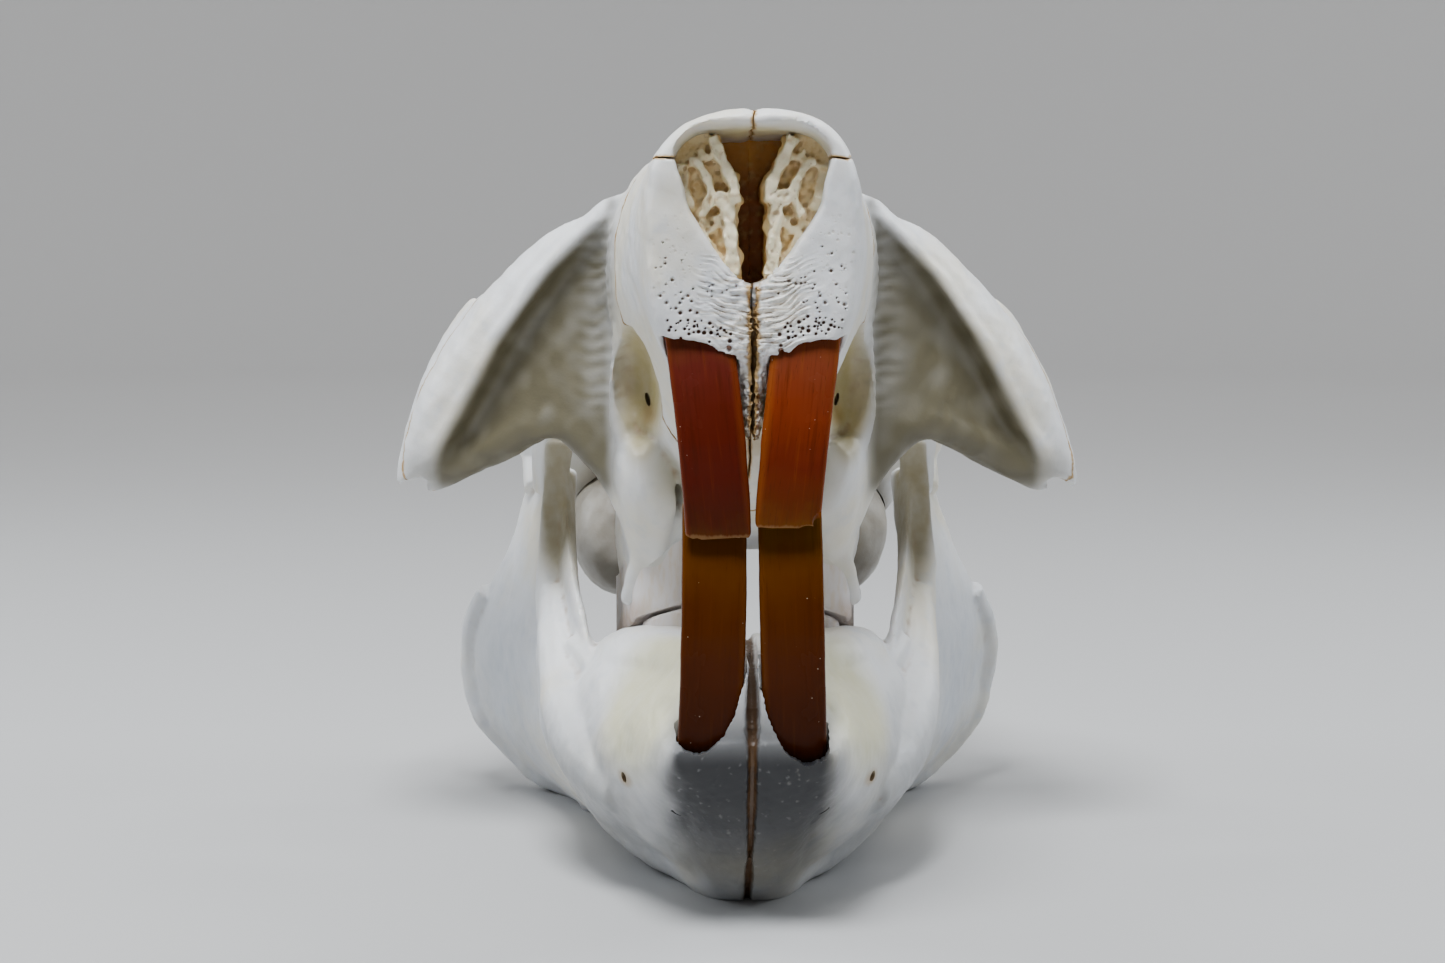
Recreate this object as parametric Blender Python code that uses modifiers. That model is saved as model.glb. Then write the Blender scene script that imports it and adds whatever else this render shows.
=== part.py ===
"""Beaver skull with its lower jaw, life size, resting on the chin and the two jaw angles.

Every named size is in millimetres and the meshes are made in metres. The snout looks along -Y, +X is
to the right of someone who faces the incisors, and z = 0 is the surface that the jaw rests on. While it
is shaped, y = 0 is the front of the incisors; the finished bones are then moved so that the origin is at
the middle of the footprint.
"""

import math

import bmesh
import bpy
import numpy as np
from mathutils import Vector

MM = 0.001
GAP = 0.3                      # clearance along each suture and round each incisor

# Driving sizes
FRONT_TO_OCCIPUT = 127.0       # incisor front to the plane of the occiput
ROOF_FRONT = 103.2             # height of the nasal bones at the snout
ROOF_BACK = 73.0               # height of the roof at the occiput
OCCLUSAL_HEIGHT = 36.0         # grinding level at the front of the cheek teeth
OCCLUSAL_FRONT = 41.5          # y of the front of the cheek teeth
OCCLUSAL_SLOPE = 0.287         # fall of that level for each millimetre towards the back
FOOT_LEVEL = 0.0               # all three feet are cut flat here

# Mesh sizes
VOXEL = 0.7
CRANIUM_TRIANGLES = 5200
JAW_TRIANGLES = 1500
SIDES = 36                     # points round a lofted section

# Cranium core: y, roof height, floor height, half widths at upper, middle and lower level, squareness above
# and below the middle
CORE = (
    (1.4, 102.0, 73.6, 12.4, 11.6, 11.4, 2.7, 4.6),
    (3.2, 103.0, 71.2, 13.8, 12.9, 12.5, 2.7, 4.4),
    (9.0, ROOF_FRONT, 65.2, 14.8, 13.8, 12.8, 2.6, 3.8),
    (15.0, ROOF_FRONT, 58.6, 15.3, 14.6, 11.8, 2.7, 3.2),
    (25.0, 101.9, 53.2, 16.6, 15.8, 10.8, 3.2, 3.0),
    (35.0, 100.0, 48.8, 18.0, 16.6, 11.2, 4.0, 3.0),
    (43.0, 98.2, 46.6, 19.4, 17.8, 13.0, 3.6, 3.0),
    (50.0, 96.4, 45.0, 19.0, 15.8, 14.0, 3.2, 2.8),
    (58.0, 94.2, 43.4, 14.6, 11.8, 14.0, 2.8, 2.8),
    (66.0, 91.8, 41.8, 12.4, 10.8, 14.0, 2.6, 2.6),
    (74.0, 89.2, 43.4, 12.6, 13.6, 12.6, 2.4, 2.6),
    (82.0, 86.4, 47.6, 16.4, 19.8, 13.6, 2.3, 2.5),
    (90.0, 83.8, 47.8, 19.4, 23.2, 17.0, 2.3, 2.4),
    (98.0, 81.0, 46.4, 20.6, 24.4, 20.0, 2.3, 2.4),
    (106.0, 78.4, 45.0, 21.8, 26.2, 23.4, 2.3, 2.4),
    (114.0, 76.0, 43.6, 23.6, 28.6, 25.0, 2.4, 2.5),
    (121.0, 74.0, 42.8, 24.4, 28.6, 22.0, 2.5, 2.6),
    (FRONT_TO_OCCIPUT, ROOF_BACK, 43.8, 22.0, 24.4, 17.6, 2.6, 2.6),
)

# Ribbons: upper or front edge, lower or rear edge, thickness. All on the +X side.
PLATE = (
    ((13.0, 35.0, 91.0), (11.0, 38.0, 57.0), 4.6),
    ((16.6, 41.6, 92.0), (16.6, 42.6, 58.0), 4.8),
    ((20.4, 46.8, 90.6), (22.4, 46.2, 61.6), 4.6),
    ((25.4, 49.4, 85.6), (28.4, 48.6, 61.2), 4.2),
    ((31.0, 51.6, 78.4), (34.0, 51.4, 58.6), 4.2),
    ((36.8, 53.8, 70.2), (39.4, 54.2, 55.4), 4.6),
    ((42.0, 56.0, 61.6), (43.4, 56.4, 53.8), 5.0),
    ((44.6, 57.0, 56.6), (45.4, 57.2, 53.4), 4.6),
)
ARCH = (
    ((20.0, 47.4, 91.0), (44.6, 55.6, 54.8), 3.6),
    ((27.0, 51.8, 87.6), (47.0, 56.6, 54.6), 4.6),
    ((32.8, 56.8, 82.4), (48.6, 58.6, 54.0), 4.8),
    ((36.8, 61.6, 79.0), (49.2, 63.2, 54.0), 4.4),
    ((39.0, 67.4, 77.6), (48.8, 68.6, 54.8), 4.0),
    ((39.8, 72.5, 77.8), (47.8, 73.5, 56.2), 3.8),
    ((41.0, 77.0, 75.2), (46.4, 78.0, 58.0), 3.8),
    ((41.0, 82.5, 72.0), (44.0, 83.5, 60.0), 3.8),
    ((37.4, 88.5, 70.8), (39.0, 89.0, 62.6), 4.4),
    ((31.0, 92.5, 71.0), (32.0, 92.5, 63.8), 5.6),
    ((21.0, 95.0, 71.0), (22.0, 95.0, 62.0), 7.0),
)
MAXILLA_WALL = (
    ((12.6, 35.0, 58.0), (10.6, 36.0, 52.0), 4.6),
    ((15.4, 42.0, 58.0), (12.4, 42.4, 44.4), 6.4),
    ((14.4, 51.0, 58.0), (13.0, 50.0, 41.2), 7.6),
    ((13.6, 60.0, 55.0), (13.8, 60.0, 40.0), 8.0),
    ((14.0, 69.0, 51.0), (14.6, 70.0, 37.6), 7.6),
    ((14.0, 76.0, 51.0), (14.4, 76.5, 41.6), 4.0),
)
RAMUS = (
    ((19.8, 70.0, -1.0), (23.4, 86.0, -1.0), 5.0),
    ((22.0, 63.0, 4.0), (32.0, 90.6, 3.4), 5.0),
    ((23.2, 54.0, 11.5), (39.4, 94.0, 10.4), 4.6),
    ((22.4, 47.0, 19.0), (41.9, 95.6, 18.2), 4.0),
    ((21.4, 44.0, 26.0), (41.8, 94.0, 25.5), 3.6),
    ((23.0, 50.4, 33.0), (39.0, 90.0, 32.0), 3.6),
    ((24.8, 55.8, 40.0), (35.4, 86.4, 39.0), 3.6),
    ((25.6, 60.2, 48.0), (32.8, 87.4, 47.0), 3.6),
    ((26.2, 63.4, 54.0), (31.0, 90.5, 53.0), 4.0),
)
CORONOID = (
    ((25.8, 61.5, 50.0), (29.6, 82.0, 50.0), 3.6),
    ((27.0, 65.6, 59.0), (30.2, 80.2, 58.0), 3.2),
    ((28.4, 69.8, 67.0), (31.0, 80.4, 66.0), 2.8),
    ((30.0, 75.2, 74.0), (31.2, 81.6, 73.4), 2.2),
)
RIBBON_BOW = {"plate": -2.6, "arch": 1.2, "maxilla_wall": 0.0, "ramus": -2.2, "coronoid": 0.6}

# Rods of the upper skull: x, y, z and radius along each
FACE_RODS = {
    "rim": ((17.6, 45.8, 92.0, 2.0), (24.6, 48.8, 86.2, 1.9), (33.2, 51.4, 75.0, 1.9), (39.4, 53.6, 65.0, 2.2),
            (44.0, 55.8, 57.4, 2.6), (45.0, 57.0, 53.8, 2.6)),
    "root_border": ((13.4, 43.6, 43.0, 2.2), (14.6, 44.0, 49.0, 2.8), (18.6, 45.0, 57.0, 3.2),
                    (26.0, 47.0, 62.4, 2.6), (34.0, 51.0, 58.8, 2.4), (40.0, 54.6, 55.8, 2.6),
                    (45.0, 57.4, 53.8, 2.6)),
    "orbit_rim": ((17.6, 46.0, 92.0, 2.0), (18.0, 52.0, 91.4, 1.8), (14.2, 60.0, 90.2, 1.6),
                  (12.4, 68.0, 88.0, 1.4), (11.6, 76.0, 86.0, 1.2)),
}
HEAD_RODS = {
    "lambdoid": ((0.0, 126.8, 73.0, 1.8), (12.0, 126.8, 72.2, 1.8), (21.6, 123.8, 68.6, 2.0),
                 (27.6, 118.6, 61.0, 2.4), (28.6, 114.4, 54.0, 3.0)),
    "temporal_ridge": ((10.4, 78.0, 87.0, 1.4), (9.0, 92.0, 82.4, 1.4), (6.0, 108.0, 77.6, 1.4),
                       (2.4, 124.0, 74.0, 1.4)),
    "ear_tube": ((20.0, 104.0, 46.0, 6.4), (26.6, 105.4, 54.0, 5.4), (30.8, 106.4, 60.0, 4.4)),
    "paroccipital": ((21.0, 119.0, 50.0, 4.4), (21.6, 119.8, 42.0, 3.0), (21.4, 119.0, 35.6, 1.6)),
    "pterygoid": ((8.4, 74.0, 44.0, 2.6), (8.0, 80.0, 44.6, 2.2), (8.0, 86.0, 43.4, 2.0), (8.6, 91.0, 40.6, 1.6)),
    "pterygoid_wall": ((8.4, 75.0, 50.0, 3.4), (8.6, 84.0, 50.0, 3.4), (9.0, 92.0, 48.0, 3.0)),
    "squamosal_root": ((20.0, 90.0, 68.0, 5.0), (27.0, 90.4, 67.2, 4.6), (33.0, 89.6, 67.0, 4.0)),
}
# Rounded lumps: middle, half sizes, tilt in degrees
CONDYLE = ((8.6, 124.8, 48.0), (4.4, 4.6, 6.4), (20, 0, -18))
MASTOID = ((24.4, 113.0, 53.0), (7.0, 7.6, 10.6), (0, 0, 14))
EAR_CAPSULE = ((17.4, 102.0, 40.6), (8.6, 11.6, 10.8), (12, 12, 16))
JAW_CONDYLE = ((29.8, 89.6, 56.4), (4.4, 4.8, 3.8), (0, 0, 12))
INFRAORBITAL = ((17.0, 31.5, 67.5), (2.4, 7.0, 6.6), (0, 0, -8))

# Bore of the foramen magnum, channel behind the palate, and smaller holes: x, y, z and radius
FORAMEN_MAGNUM = ((0, 134, 53.0, 6.6), (0, 126, 52.6, 6.4), (0, 114, 52.4, 5.6))
CHOANA = ((0, 99, 48.0, 4.4), (0, 86, 48.0, 4.6), (0, 76, 46.0, 3.6))
INFRAORBITAL_HOLE = ((13.8, 24.0, 66.0, 1.3), (12.8, 34.0, 66.0, 1.5), (12.6, 42.0, 66.0, 1.3))
EAR_HOLE = ((35.0, 107.8, 67.0, 2.7), (30.8, 106.4, 60.0, 2.5), (26.6, 105.4, 54.0, 2.0))
MENTAL_HOLE = ((19.0, 14.0, 17.6, 0.8), (15.0, 20.0, 17.6, 0.9), (12.5, 25.0, 17.6, 0.8))

# Septum between the upper incisors, from its edge on one side of the midline to the other
SEPTUM = (((0, 6.0, 79), (0, 17, 78), 7.6), ((0, 4.4, 73), (0, 15, 70), 5.0), ((0, 3.8, 67), (0, 13, 66), 3.0),
          ((0, 3.8, 62.4), (0, 10, 62.4), 1.7))

# Rods of the lower jaw
JAW_RODS = {
    "neck": ((30.4, 84.0, 49.0, 2.6), (30.2, 88.0, 53.0, 3.0), (29.8, 89.6, 56.0, 3.2)),
    "masseter_ridge": ((26.4, 64.0, 58.0, 2.0), (27.0, 62.6, 46.0, 2.4), (27.0, 61.0, 30.0, 2.8),
                       (26.4, 62.0, 16.0, 3.0), (24.6, 66.0, 8.0, 2.6)),
    "angle_rim": ((21.6, 74.0, 1.6, 2.4), (23.4, 83.0, 1.4, 2.6), (31.6, 90.0, 4.0, 2.4), (39.2, 94.0, 10.6, 2.2),
                  (41.8, 95.4, 18.4, 2.0), (41.8, 93.8, 26.0, 2.0), (39.0, 89.6, 32.4, 1.8)),
    "alveolar": ((9.6, 39.0, 29.4, 3.8), (10.8, 48.0, 27.8, 4.6), (12.6, 58.0, 25.0, 4.6), (14.2, 68.0, 22.4, 4.2),
                 (15.4, 75.0, 20.0, 3.2)),
    "crest": ((1.1, 4.0, 27.0, 0.9), (1.1, 5.6, 31.6, 0.8), (1.2, 9.0, 34.6, 1.0), (1.6, 14.0, 35.6, 1.4)),
    "notch": ((17.6, 42.0, 28.2, 2.2), (20.6, 45.6, 27.2, 2.2), (23.4, 51.0, 30.0, 2.0)),
}

# Lower jaw body: y, top height, bottom height, inner x, outer x at upper, middle and lower level
JAW_BODY = (
    (2.6, 24.8, 21.6, -9.0, 9.2, 9.6, 9.0),
    (3.8, 25.8, 18.6, -9.6, 9.8, 10.4, 9.4),
    (6.4, 29.0, 14.2, -10.4, 10.8, 12.0, 10.4),
    (10.0, 33.4, 9.8, -11.0, 11.6, 13.8, 11.2),
    (14.0, 36.2, 5.8, -10.6, 12.2, 15.6, 11.6),
    (18.0, 36.2, 2.0, -9.0, 13.2, 17.2, 11.6),
    (23.0, 35.4, -1.4, -7.0, 14.8, 19.0, 12.4),
    (29.0, 34.4, -0.8, -4.0, 16.8, 21.0, 15.4),
    (36.0, 33.8, 0.2, 0.0, 20.6, 23.2, 20.0),
    (44.0, 33.4, 1.4, 3.0, 23.2, 25.4, 23.6),
    (54.0, 31.0, 2.2, 6.4, 23.6, 27.0, 25.4),
    (64.0, 27.6, 2.2, 9.6, 22.0, 27.8, 26.2),
    (73.0, 24.8, 1.6, 13.0, 22.4, 28.0, 26.2),
    (80.0, 19.0, 1.4, 17.0, 23.6, 27.6, 25.4),
)

# Cheek teeth: half width across, length along the row, offset of the middle from the midline
UPPER_ROW = ((4.7, 8.8, 12.7), (4.1, 7.8, 13.2), (3.9, 7.5, 13.8), (3.5, 7.0, 14.6))
LOWER_ROW = ((3.9, 9.0, 10.2), (3.9, 7.9, 11.4), (3.8, 7.7, 12.8), (3.4, 7.2, 14.2))
TOOTH_SPACE = 0.4
BITE_GAP = 0.5                 # between the upper and the lower grinding faces
UPPER_CROWN = 6.0
LOWER_CROWN = 4.6
CROWN_TILT = 0.28              # rise of the upper grinding face towards the midline, per millimetre

# Incisors: arc of the front face in the y-z plane with its end angles, the tips for the left and the right
# one, x and width at the root end and at the tip, how the x changes between them (1 is evenly), and the slope
# of the worn face behind the cutting edge
UPPER_INCISOR = {"centre": (38.0, 62.0), "radius": 38.0, "root": 29.0, "tips": (-17.5, -15.6),
                 "x": (7.5, 4.3), "width": (9.4, 8.5), "bend": 1.0, "depth": 9.4, "facet": 53.0}
LOWER_INCISOR = {"centre": (39.4, 38.0), "radius": 38.0, "root": -38.0, "tips": (26.4, 26.4),
                 "x": (6.0, 4.7), "width": (8.4, 8.4), "bend": 2.0, "depth": 9.0, "facet": 47.0}
INCISOR_SQUARENESS = 6.5
SHEATH_END = -21.0             # bone covers the lower incisor up to this angle of its arc
SHEATH_WALL = 1.1
LINGUAL_TAPER = 0.30

# Thin channel under the pair of nasal bones: y, height of its floor, half width
NASAL_CHANNEL = (
    (-4.0, 96.9, 14.6),
    (8.0, 97.3, 14.0),
    (16.0, 97.0, 12.6),
    (25.0, 96.3, 10.8),
    (40.0, 93.8, 9.2),
    (49.0, 91.0, 8.4),
)
CHANNEL_RISE = 14.0

# Nasal opening, with the columns of the cranium core
NARES = (
    (-2.0, 100.6, 81.4, 10.4, 8.0, 3.8, 2.9, 2.0),
    (5.0, 100.0, 82.0, 10.4, 8.2, 4.0, 2.8, 2.0),
    (14.0, 98.6, 82.0, 9.8, 8.8, 5.0, 2.4, 2.0),
    (26.0, 95.0, 82.0, 7.6, 7.0, 4.0, 2.2, 2.0),
)
TURBINATE_FRONT = 8.0


def smooth_rows(rows, steps):
    """Catmull-Rom interpolation of equal-length rows, with the given steps between neighbours."""
    rows = np.array(rows, float)
    padded = np.vstack([2 * rows[0] - rows[1], rows, 2 * rows[-1] - rows[-2]])
    result = []
    for i in range(len(rows) - 1):
        a, b, c, d = padded[i:i + 4]
        for k in range(steps):
            t = k / steps
            result.append(0.5 * (2 * b + (c - a) * t + (2 * a - 5 * b + 4 * c - d) * t * t
                                 + (3 * b - a - 3 * c + d) * t ** 3))
    result.append(rows[-1])
    return np.array(result)


def mesh_object(name, points, faces):
    """New object from points in millimetres, with its normals facing out."""
    mesh = bpy.data.meshes.new(name)
    mesh.from_pydata([tuple(p) for p in np.asarray(points) * MM], [], faces)
    made = bmesh.new()
    made.from_mesh(mesh)
    bmesh.ops.recalc_face_normals(made, faces=made.faces)
    made.to_mesh(mesh)
    made.free()
    obj = bpy.data.objects.new(name, mesh)
    bpy.context.scene.collection.objects.link(obj)
    return obj


def skin(name, rings):
    """Closed loft through rings that hold the same number of points."""
    count = len(rings[0])
    points = np.vstack(rings)
    faces = []
    for i in range(len(rings) - 1):
        for k in range(count):
            n = (k + 1) % count
            faces.append((i * count + k, i * count + n, (i + 1) * count + n, (i + 1) * count + k))
    faces.append(tuple(range(count)))
    faces.append(tuple(range((len(rings) - 1) * count, len(rings) * count)))
    return mesh_object(name, points, faces)


def rounded(angle, power):
    """Superellipse factors (across, up) at an angle."""
    across, up = math.cos(angle), math.sin(angle)
    return (math.copysign(abs(across) ** (2 / power), across), math.copysign(abs(up) ** (2 / power), up))


def level_width(up, upper, middle, lower):
    """Half width at a height between -1 and 1, from the widths at three levels."""
    k = max(-1.2, min(1.2, up / 0.6))
    return middle + (upper - lower) / 2 * k + ((upper + lower) / 2 - middle) * k * k


def core_ring(row):
    """Section across the head, symmetric about x = 0."""
    y, top, bottom, upper, middle, lower, above, below = row
    ring = []
    for i in range(SIDES):
        angle = 2 * math.pi * (i + 0.5) / SIDES
        across, up = rounded(angle, above if angle < math.pi else below)
        width = max(0.5, level_width(up, upper, middle, lower))
        ring.append((width * across, y, (top + bottom) / 2 + (top - bottom) / 2 * up))
    return np.array(ring)


def core(name, table, steps=4):
    """Loft of symmetric sections."""
    return skin(name, [core_ring(row) for row in smooth_rows(table, steps)])


def jaw_body(name, side):
    """Loft of one half of the jaw's body, flat along the midline in front."""
    rings = []
    for y, top, bottom, inner, upper, middle, lower in smooth_rows(JAW_BODY, 4):
        ring = []
        for i in range(SIDES):
            angle = 2 * math.pi * (i + 0.5) / SIDES
            across, up = rounded(angle, 3.2 if angle < math.pi else 2.4)
            outer = level_width(up, upper, middle, lower)
            x = (inner + outer) / 2 + (outer - inner) / 2 * across
            ring.append((side * x, y, (top + bottom) / 2 + (top - bottom) / 2 * up))
        rings.append(np.array(ring))
    return skin(name, rings)


def ribbon(name, table, bow, side, steps=4):
    """Loft of a curved plate whose sections run from one edge to the other with rounded borders."""
    rows = smooth_rows([(*first, *second, thick) for first, second, thick in table], steps)
    starts, ends, thick = rows[:, :3], rows[:, 3:6], rows[:, 6]
    middles = (starts + ends) / 2
    travel = np.gradient(middles, axis=0)
    rings = []
    for start, end, wall, along in zip(starts, ends, thick, travel):
        chord = end - start
        length = np.linalg.norm(chord)
        normal = np.cross(chord, along)
        normal /= np.linalg.norm(normal)
        ring = []
        for i in range(SIDES):
            across, out = rounded(2 * math.pi * i / SIDES, 2.0)
            lift = bow * (1 - across * across)
            half = 0.5 + 0.5 * wall / length
            ring.append((start + end) / 2 + chord * across * half + normal * (out * wall / 2 + lift))
        ring = np.array(ring)
        ring[:, 0] *= side
        rings.append(ring)
    return skin(name, rings)


def tube(name, path, side=1, sides=12, steps=4):
    """Round rod through (x, y, z, radius) rows, with rounded ends."""
    rows = smooth_rows(path, steps)
    centres, radii = rows[:, :3], rows[:, 3]
    travel = np.gradient(centres, axis=0)
    rings = []
    for centre, radius, along in zip(centres, radii, travel):
        along = Vector(along).normalized()
        first = along.orthogonal().normalized()
        if abs(along.x) < 0.9:
            first = along.cross(Vector((1, 0, 0))).normalized()
        second = along.cross(first)
        ring = [centre + radius * (np.array(first) * math.cos(2 * math.pi * k / sides)
                                   + np.array(second) * math.sin(2 * math.pi * k / sides))
                for k in range(sides)]
        ring = np.array(ring)
        ring[:, 0] *= side
        rings.append(ring)
    return skin(name, rings)


def ellipsoid(name, centre, radii, tilt=(0, 0, 0), side=1, sides=24):
    """Scaled sphere, turned by tilt in degrees about X, Y and Z."""
    made = bmesh.new()
    bmesh.ops.create_uvsphere(made, u_segments=sides, v_segments=sides // 2, radius=1.0)
    points = np.array([v.co for v in made.verts]) * np.array(radii)
    faces = [[v.index for v in f.verts] for f in made.faces]
    made.free()
    ax, ay, az = (math.radians(t) for t in tilt)
    turn_x = np.array([[1, 0, 0], [0, math.cos(ax), -math.sin(ax)], [0, math.sin(ax), math.cos(ax)]])
    turn_y = np.array([[math.cos(ay), 0, math.sin(ay)], [0, 1, 0], [-math.sin(ay), 0, math.cos(ay)]])
    turn_z = np.array([[math.cos(az), -math.sin(az), 0], [math.sin(az), math.cos(az), 0], [0, 0, 1]])
    points = points @ (turn_z @ turn_y @ turn_x).T + np.array(centre)
    points[:, 0] *= side
    return mesh_object(name, points, faces)


def box(name, low, high):
    """Plain block between two corners."""
    made = bmesh.new()
    bmesh.ops.create_cube(made, size=1.0)
    low, high = np.array(low, float), np.array(high, float)
    points = np.array([v.co for v in made.verts]) * (high - low) + (low + high) / 2
    faces = [[v.index for v in f.verts] for f in made.faces]
    made.free()
    return mesh_object(name, points, faces)


def apply_modifiers(obj):
    """Replace an object's mesh by its evaluated one."""
    bpy.context.view_layer.update()
    seen = obj.evaluated_get(bpy.context.evaluated_depsgraph_get())
    mesh = bpy.data.meshes.new_from_object(seen)
    old = obj.data
    obj.modifiers.clear()
    obj.data = mesh
    bpy.data.meshes.remove(old)


def discard(objects):
    """Remove objects and their meshes."""
    for obj in objects:
        mesh = obj.data
        bpy.data.objects.remove(obj)
        bpy.data.meshes.remove(mesh)


def join(name, objects):
    """One object that holds the meshes of all the given ones."""
    points, faces, start = [], [], 0
    for obj in objects:
        points += [np.array(v.co) / MM for v in obj.data.vertices]
        faces += [[start + i for i in p.vertices] for p in obj.data.polygons]
        start += len(obj.data.vertices)
    discard(objects)
    mesh = bpy.data.meshes.new(name)
    mesh.from_pydata([tuple(p * MM) for p in points], [], faces)
    obj = bpy.data.objects.new(name, mesh)
    bpy.context.scene.collection.objects.link(obj)
    return obj


def fuse(name, objects, triangles, relax=5, voxel=VOXEL):
    """Melt overlapping pieces into one smooth body with about the given number of triangles."""
    body = join(name, objects)
    melt = body.modifiers.new("melt", "REMESH")
    melt.mode = "VOXEL"
    melt.voxel_size = voxel * MM
    soften = body.modifiers.new("soften", "SMOOTH")
    soften.factor = 0.5
    soften.iterations = relax
    apply_modifiers(body)
    count = sum(len(p.vertices) - 2 for p in body.data.polygons)
    thin = body.modifiers.new("thin", "DECIMATE")
    thin.ratio = triangles / count
    thin.use_collapse_triangulate = True
    apply_modifiers(body)
    return body


def cut(body, cutters, operation="DIFFERENCE"):
    """Boolean of a body with each cutter in turn; the cutters are used up."""
    for cutter in cutters:
        step = body.modifiers.new("cut", "BOOLEAN")
        step.operation = operation
        step.solver = "MANIFOLD"
        step.object = cutter
        apply_modifiers(body)
        discard([cutter])


def islands(obj):
    """Connected bodies of a mesh, each as a set of vertex indices, largest first."""
    parent = list(range(len(obj.data.vertices)))

    def root(i):
        while parent[i] != i:
            parent[i] = parent[parent[i]]
            i = parent[i]
        return i

    for edge in obj.data.edges:
        a, b = (root(i) for i in edge.vertices)
        parent[a] = b
    groups = {}
    for i in range(len(parent)):
        groups.setdefault(root(i), set()).add(i)
    return sorted(groups.values(), key=len, reverse=True)


def take_island(obj, group, name):
    """New object with only one connected body of a mesh."""
    order = {index: k for k, index in enumerate(sorted(group))}
    points = [np.array(obj.data.vertices[i].co) / MM for i in sorted(group)]
    faces = [[order[i] for i in p.vertices] for p in obj.data.polygons if p.vertices[0] in order]
    return mesh_object(name, points, faces)


def bones_at(whole, seeds):
    """Split a cut mesh into named bones: each takes the body with the vertex nearest to its seed."""
    groups = islands(whole)
    places = [np.array([whole.data.vertices[i].co for i in sorted(g)]) / MM for g in groups]
    found = {}
    for name, seed in seeds.items():
        near = [np.min(np.linalg.norm(p - np.array(seed), axis=1)) for p in places]
        best = int(np.argmin([d if len(places[k]) > 20 else 1e9 for k, d in enumerate(near)]))
        found[name] = take_island(whole, groups[best], name)
    discard([whole])
    return found


def largest(obj):
    """Keep only the largest connected body."""
    kept = take_island(obj, islands(obj)[0], obj.name + "_kept")
    name = obj.name
    discard([obj])
    kept.name = name
    return kept


def occlusal(y):
    """Height of the grinding level at a distance from the front."""
    return OCCLUSAL_HEIGHT - (y - OCCLUSAL_FRONT) * OCCLUSAL_SLOPE


def cheek_tooth(name, side, x, y, half, length, low, high, tilt):
    """Rounded column with one end cut along the slanting grinding level."""
    rings = []
    for level in (0.0, 1.0):
        ring = []
        for i in range(20):
            across, along = rounded(2 * math.pi * i / 20, 3.0)
            py = y + along * length / 2
            slope = -(py - y) * OCCLUSAL_SLOPE - across * half * tilt
            z = low + (high - low) * level + slope
            ring.append((side * (x + across * half), py, z))
        rings.append(np.array(ring))
    return skin(name, rings)


def tooth_row(row, side, upper):
    """Four cheek teeth of one side."""
    teeth, y = [], OCCLUSAL_FRONT
    for half, length, x in row:
        middle = y + length / 2
        bite = occlusal(middle)
        if upper:
            low, high = bite + BITE_GAP / 2, bite + UPPER_CROWN + 5
        else:
            low, high = bite - LOWER_CROWN - 7, bite - BITE_GAP / 2
        tilt = CROWN_TILT
        teeth.append(cheek_tooth("tooth", side, x, middle, half, length - TOOTH_SPACE, low, high, tilt))
        y += length
    return teeth


def incisor(name, side, shape, grow=0.0, longer=0.0):
    """Incisor swept along its arc. Grow adds a clearance all round, for the socket."""
    steps, sides = 10, 16
    yc, zc = shape["centre"]
    tip = shape["tips"][0 if side < 0 else 1]
    end = 1 if tip > shape["root"] else -1
    rings = []
    for i in range(steps + 1):
        t = i / steps
        root = shape["root"] - end * longer
        angle = math.radians(root + (tip - root) * t)
        x = shape["x"][1] + (shape["x"][0] - shape["x"][1]) * (1 - t) ** shape["bend"]
        half = (shape["width"][0] + (shape["width"][1] - shape["width"][0]) * t) / 2 + grow
        depth = shape["depth"] / 2 + grow
        ring = []
        for k in range(sides):
            across, out = rounded(2 * math.pi * (k + 0.5) / sides, INCISOR_SQUARENESS)
            taper = 1 - LINGUAL_TAPER * (1 - out) / 2
            reach = shape["radius"] - shape["depth"] / 2 + depth * out
            ring.append((side * (x + half * across * taper), yc - reach * math.cos(angle),
                         zc + reach * math.sin(angle)))
        rings.append(np.array(ring))
    return skin(name, rings)


def wear_facet(side, shape):
    """Block whose sloping face grinds the back of an incisor's tip."""
    yc, zc = shape["centre"]
    degrees = shape["tips"][0 if side < 0 else 1]
    tip = math.radians(degrees)
    edge = np.array([yc - (shape["radius"] - 0.4) * math.cos(tip), zc + shape["radius"] * math.sin(tip)])
    up = 1 if degrees < shape["root"] else -1
    slope = math.radians(shape["facet"])
    along = np.array([math.cos(slope), up * math.sin(slope)])
    away = np.array([math.sin(slope), -up * math.cos(slope)])
    corners = [edge - along * 4, edge + along * 25, edge + along * 25 + away * 22, edge - along * 4 + away * 22]
    low, high = sorted((side * -2.0, side * 14.0))
    points = [(x, y, z) for x in (low, high) for y, z in corners]
    faces = [(0, 1, 2, 3), (4, 5, 6, 7)] + [(i, (i + 1) % 4, (i + 1) % 4 + 4, i + 4) for i in range(4)]
    return mesh_object("facet", points, faces)


def turbinate(side):
    """Scrolled bone that fills one side of the nasal opening, a lobed column with its root in the wall."""
    rings = []
    for y in (TURBINATE_FRONT, TURBINATE_FRONT + 1.2, 34.0):
        swell = 0.82 if y == TURBINATE_FRONT else 1.0
        ring = []
        for i in range(20):
            angle = 2 * math.pi * i / 20
            lobes = 1 + 0.13 * math.cos(5 * angle + 0.6)
            x = 6.6 + 4.4 * swell * lobes * math.cos(angle)
            z = 91.0 + 5.6 * swell * lobes * math.sin(angle) - 0.9 * math.cos(angle)
            ring.append((side * x, y, z))
        rings.append(np.array(ring))
    return skin("turbinate", rings)


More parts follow.
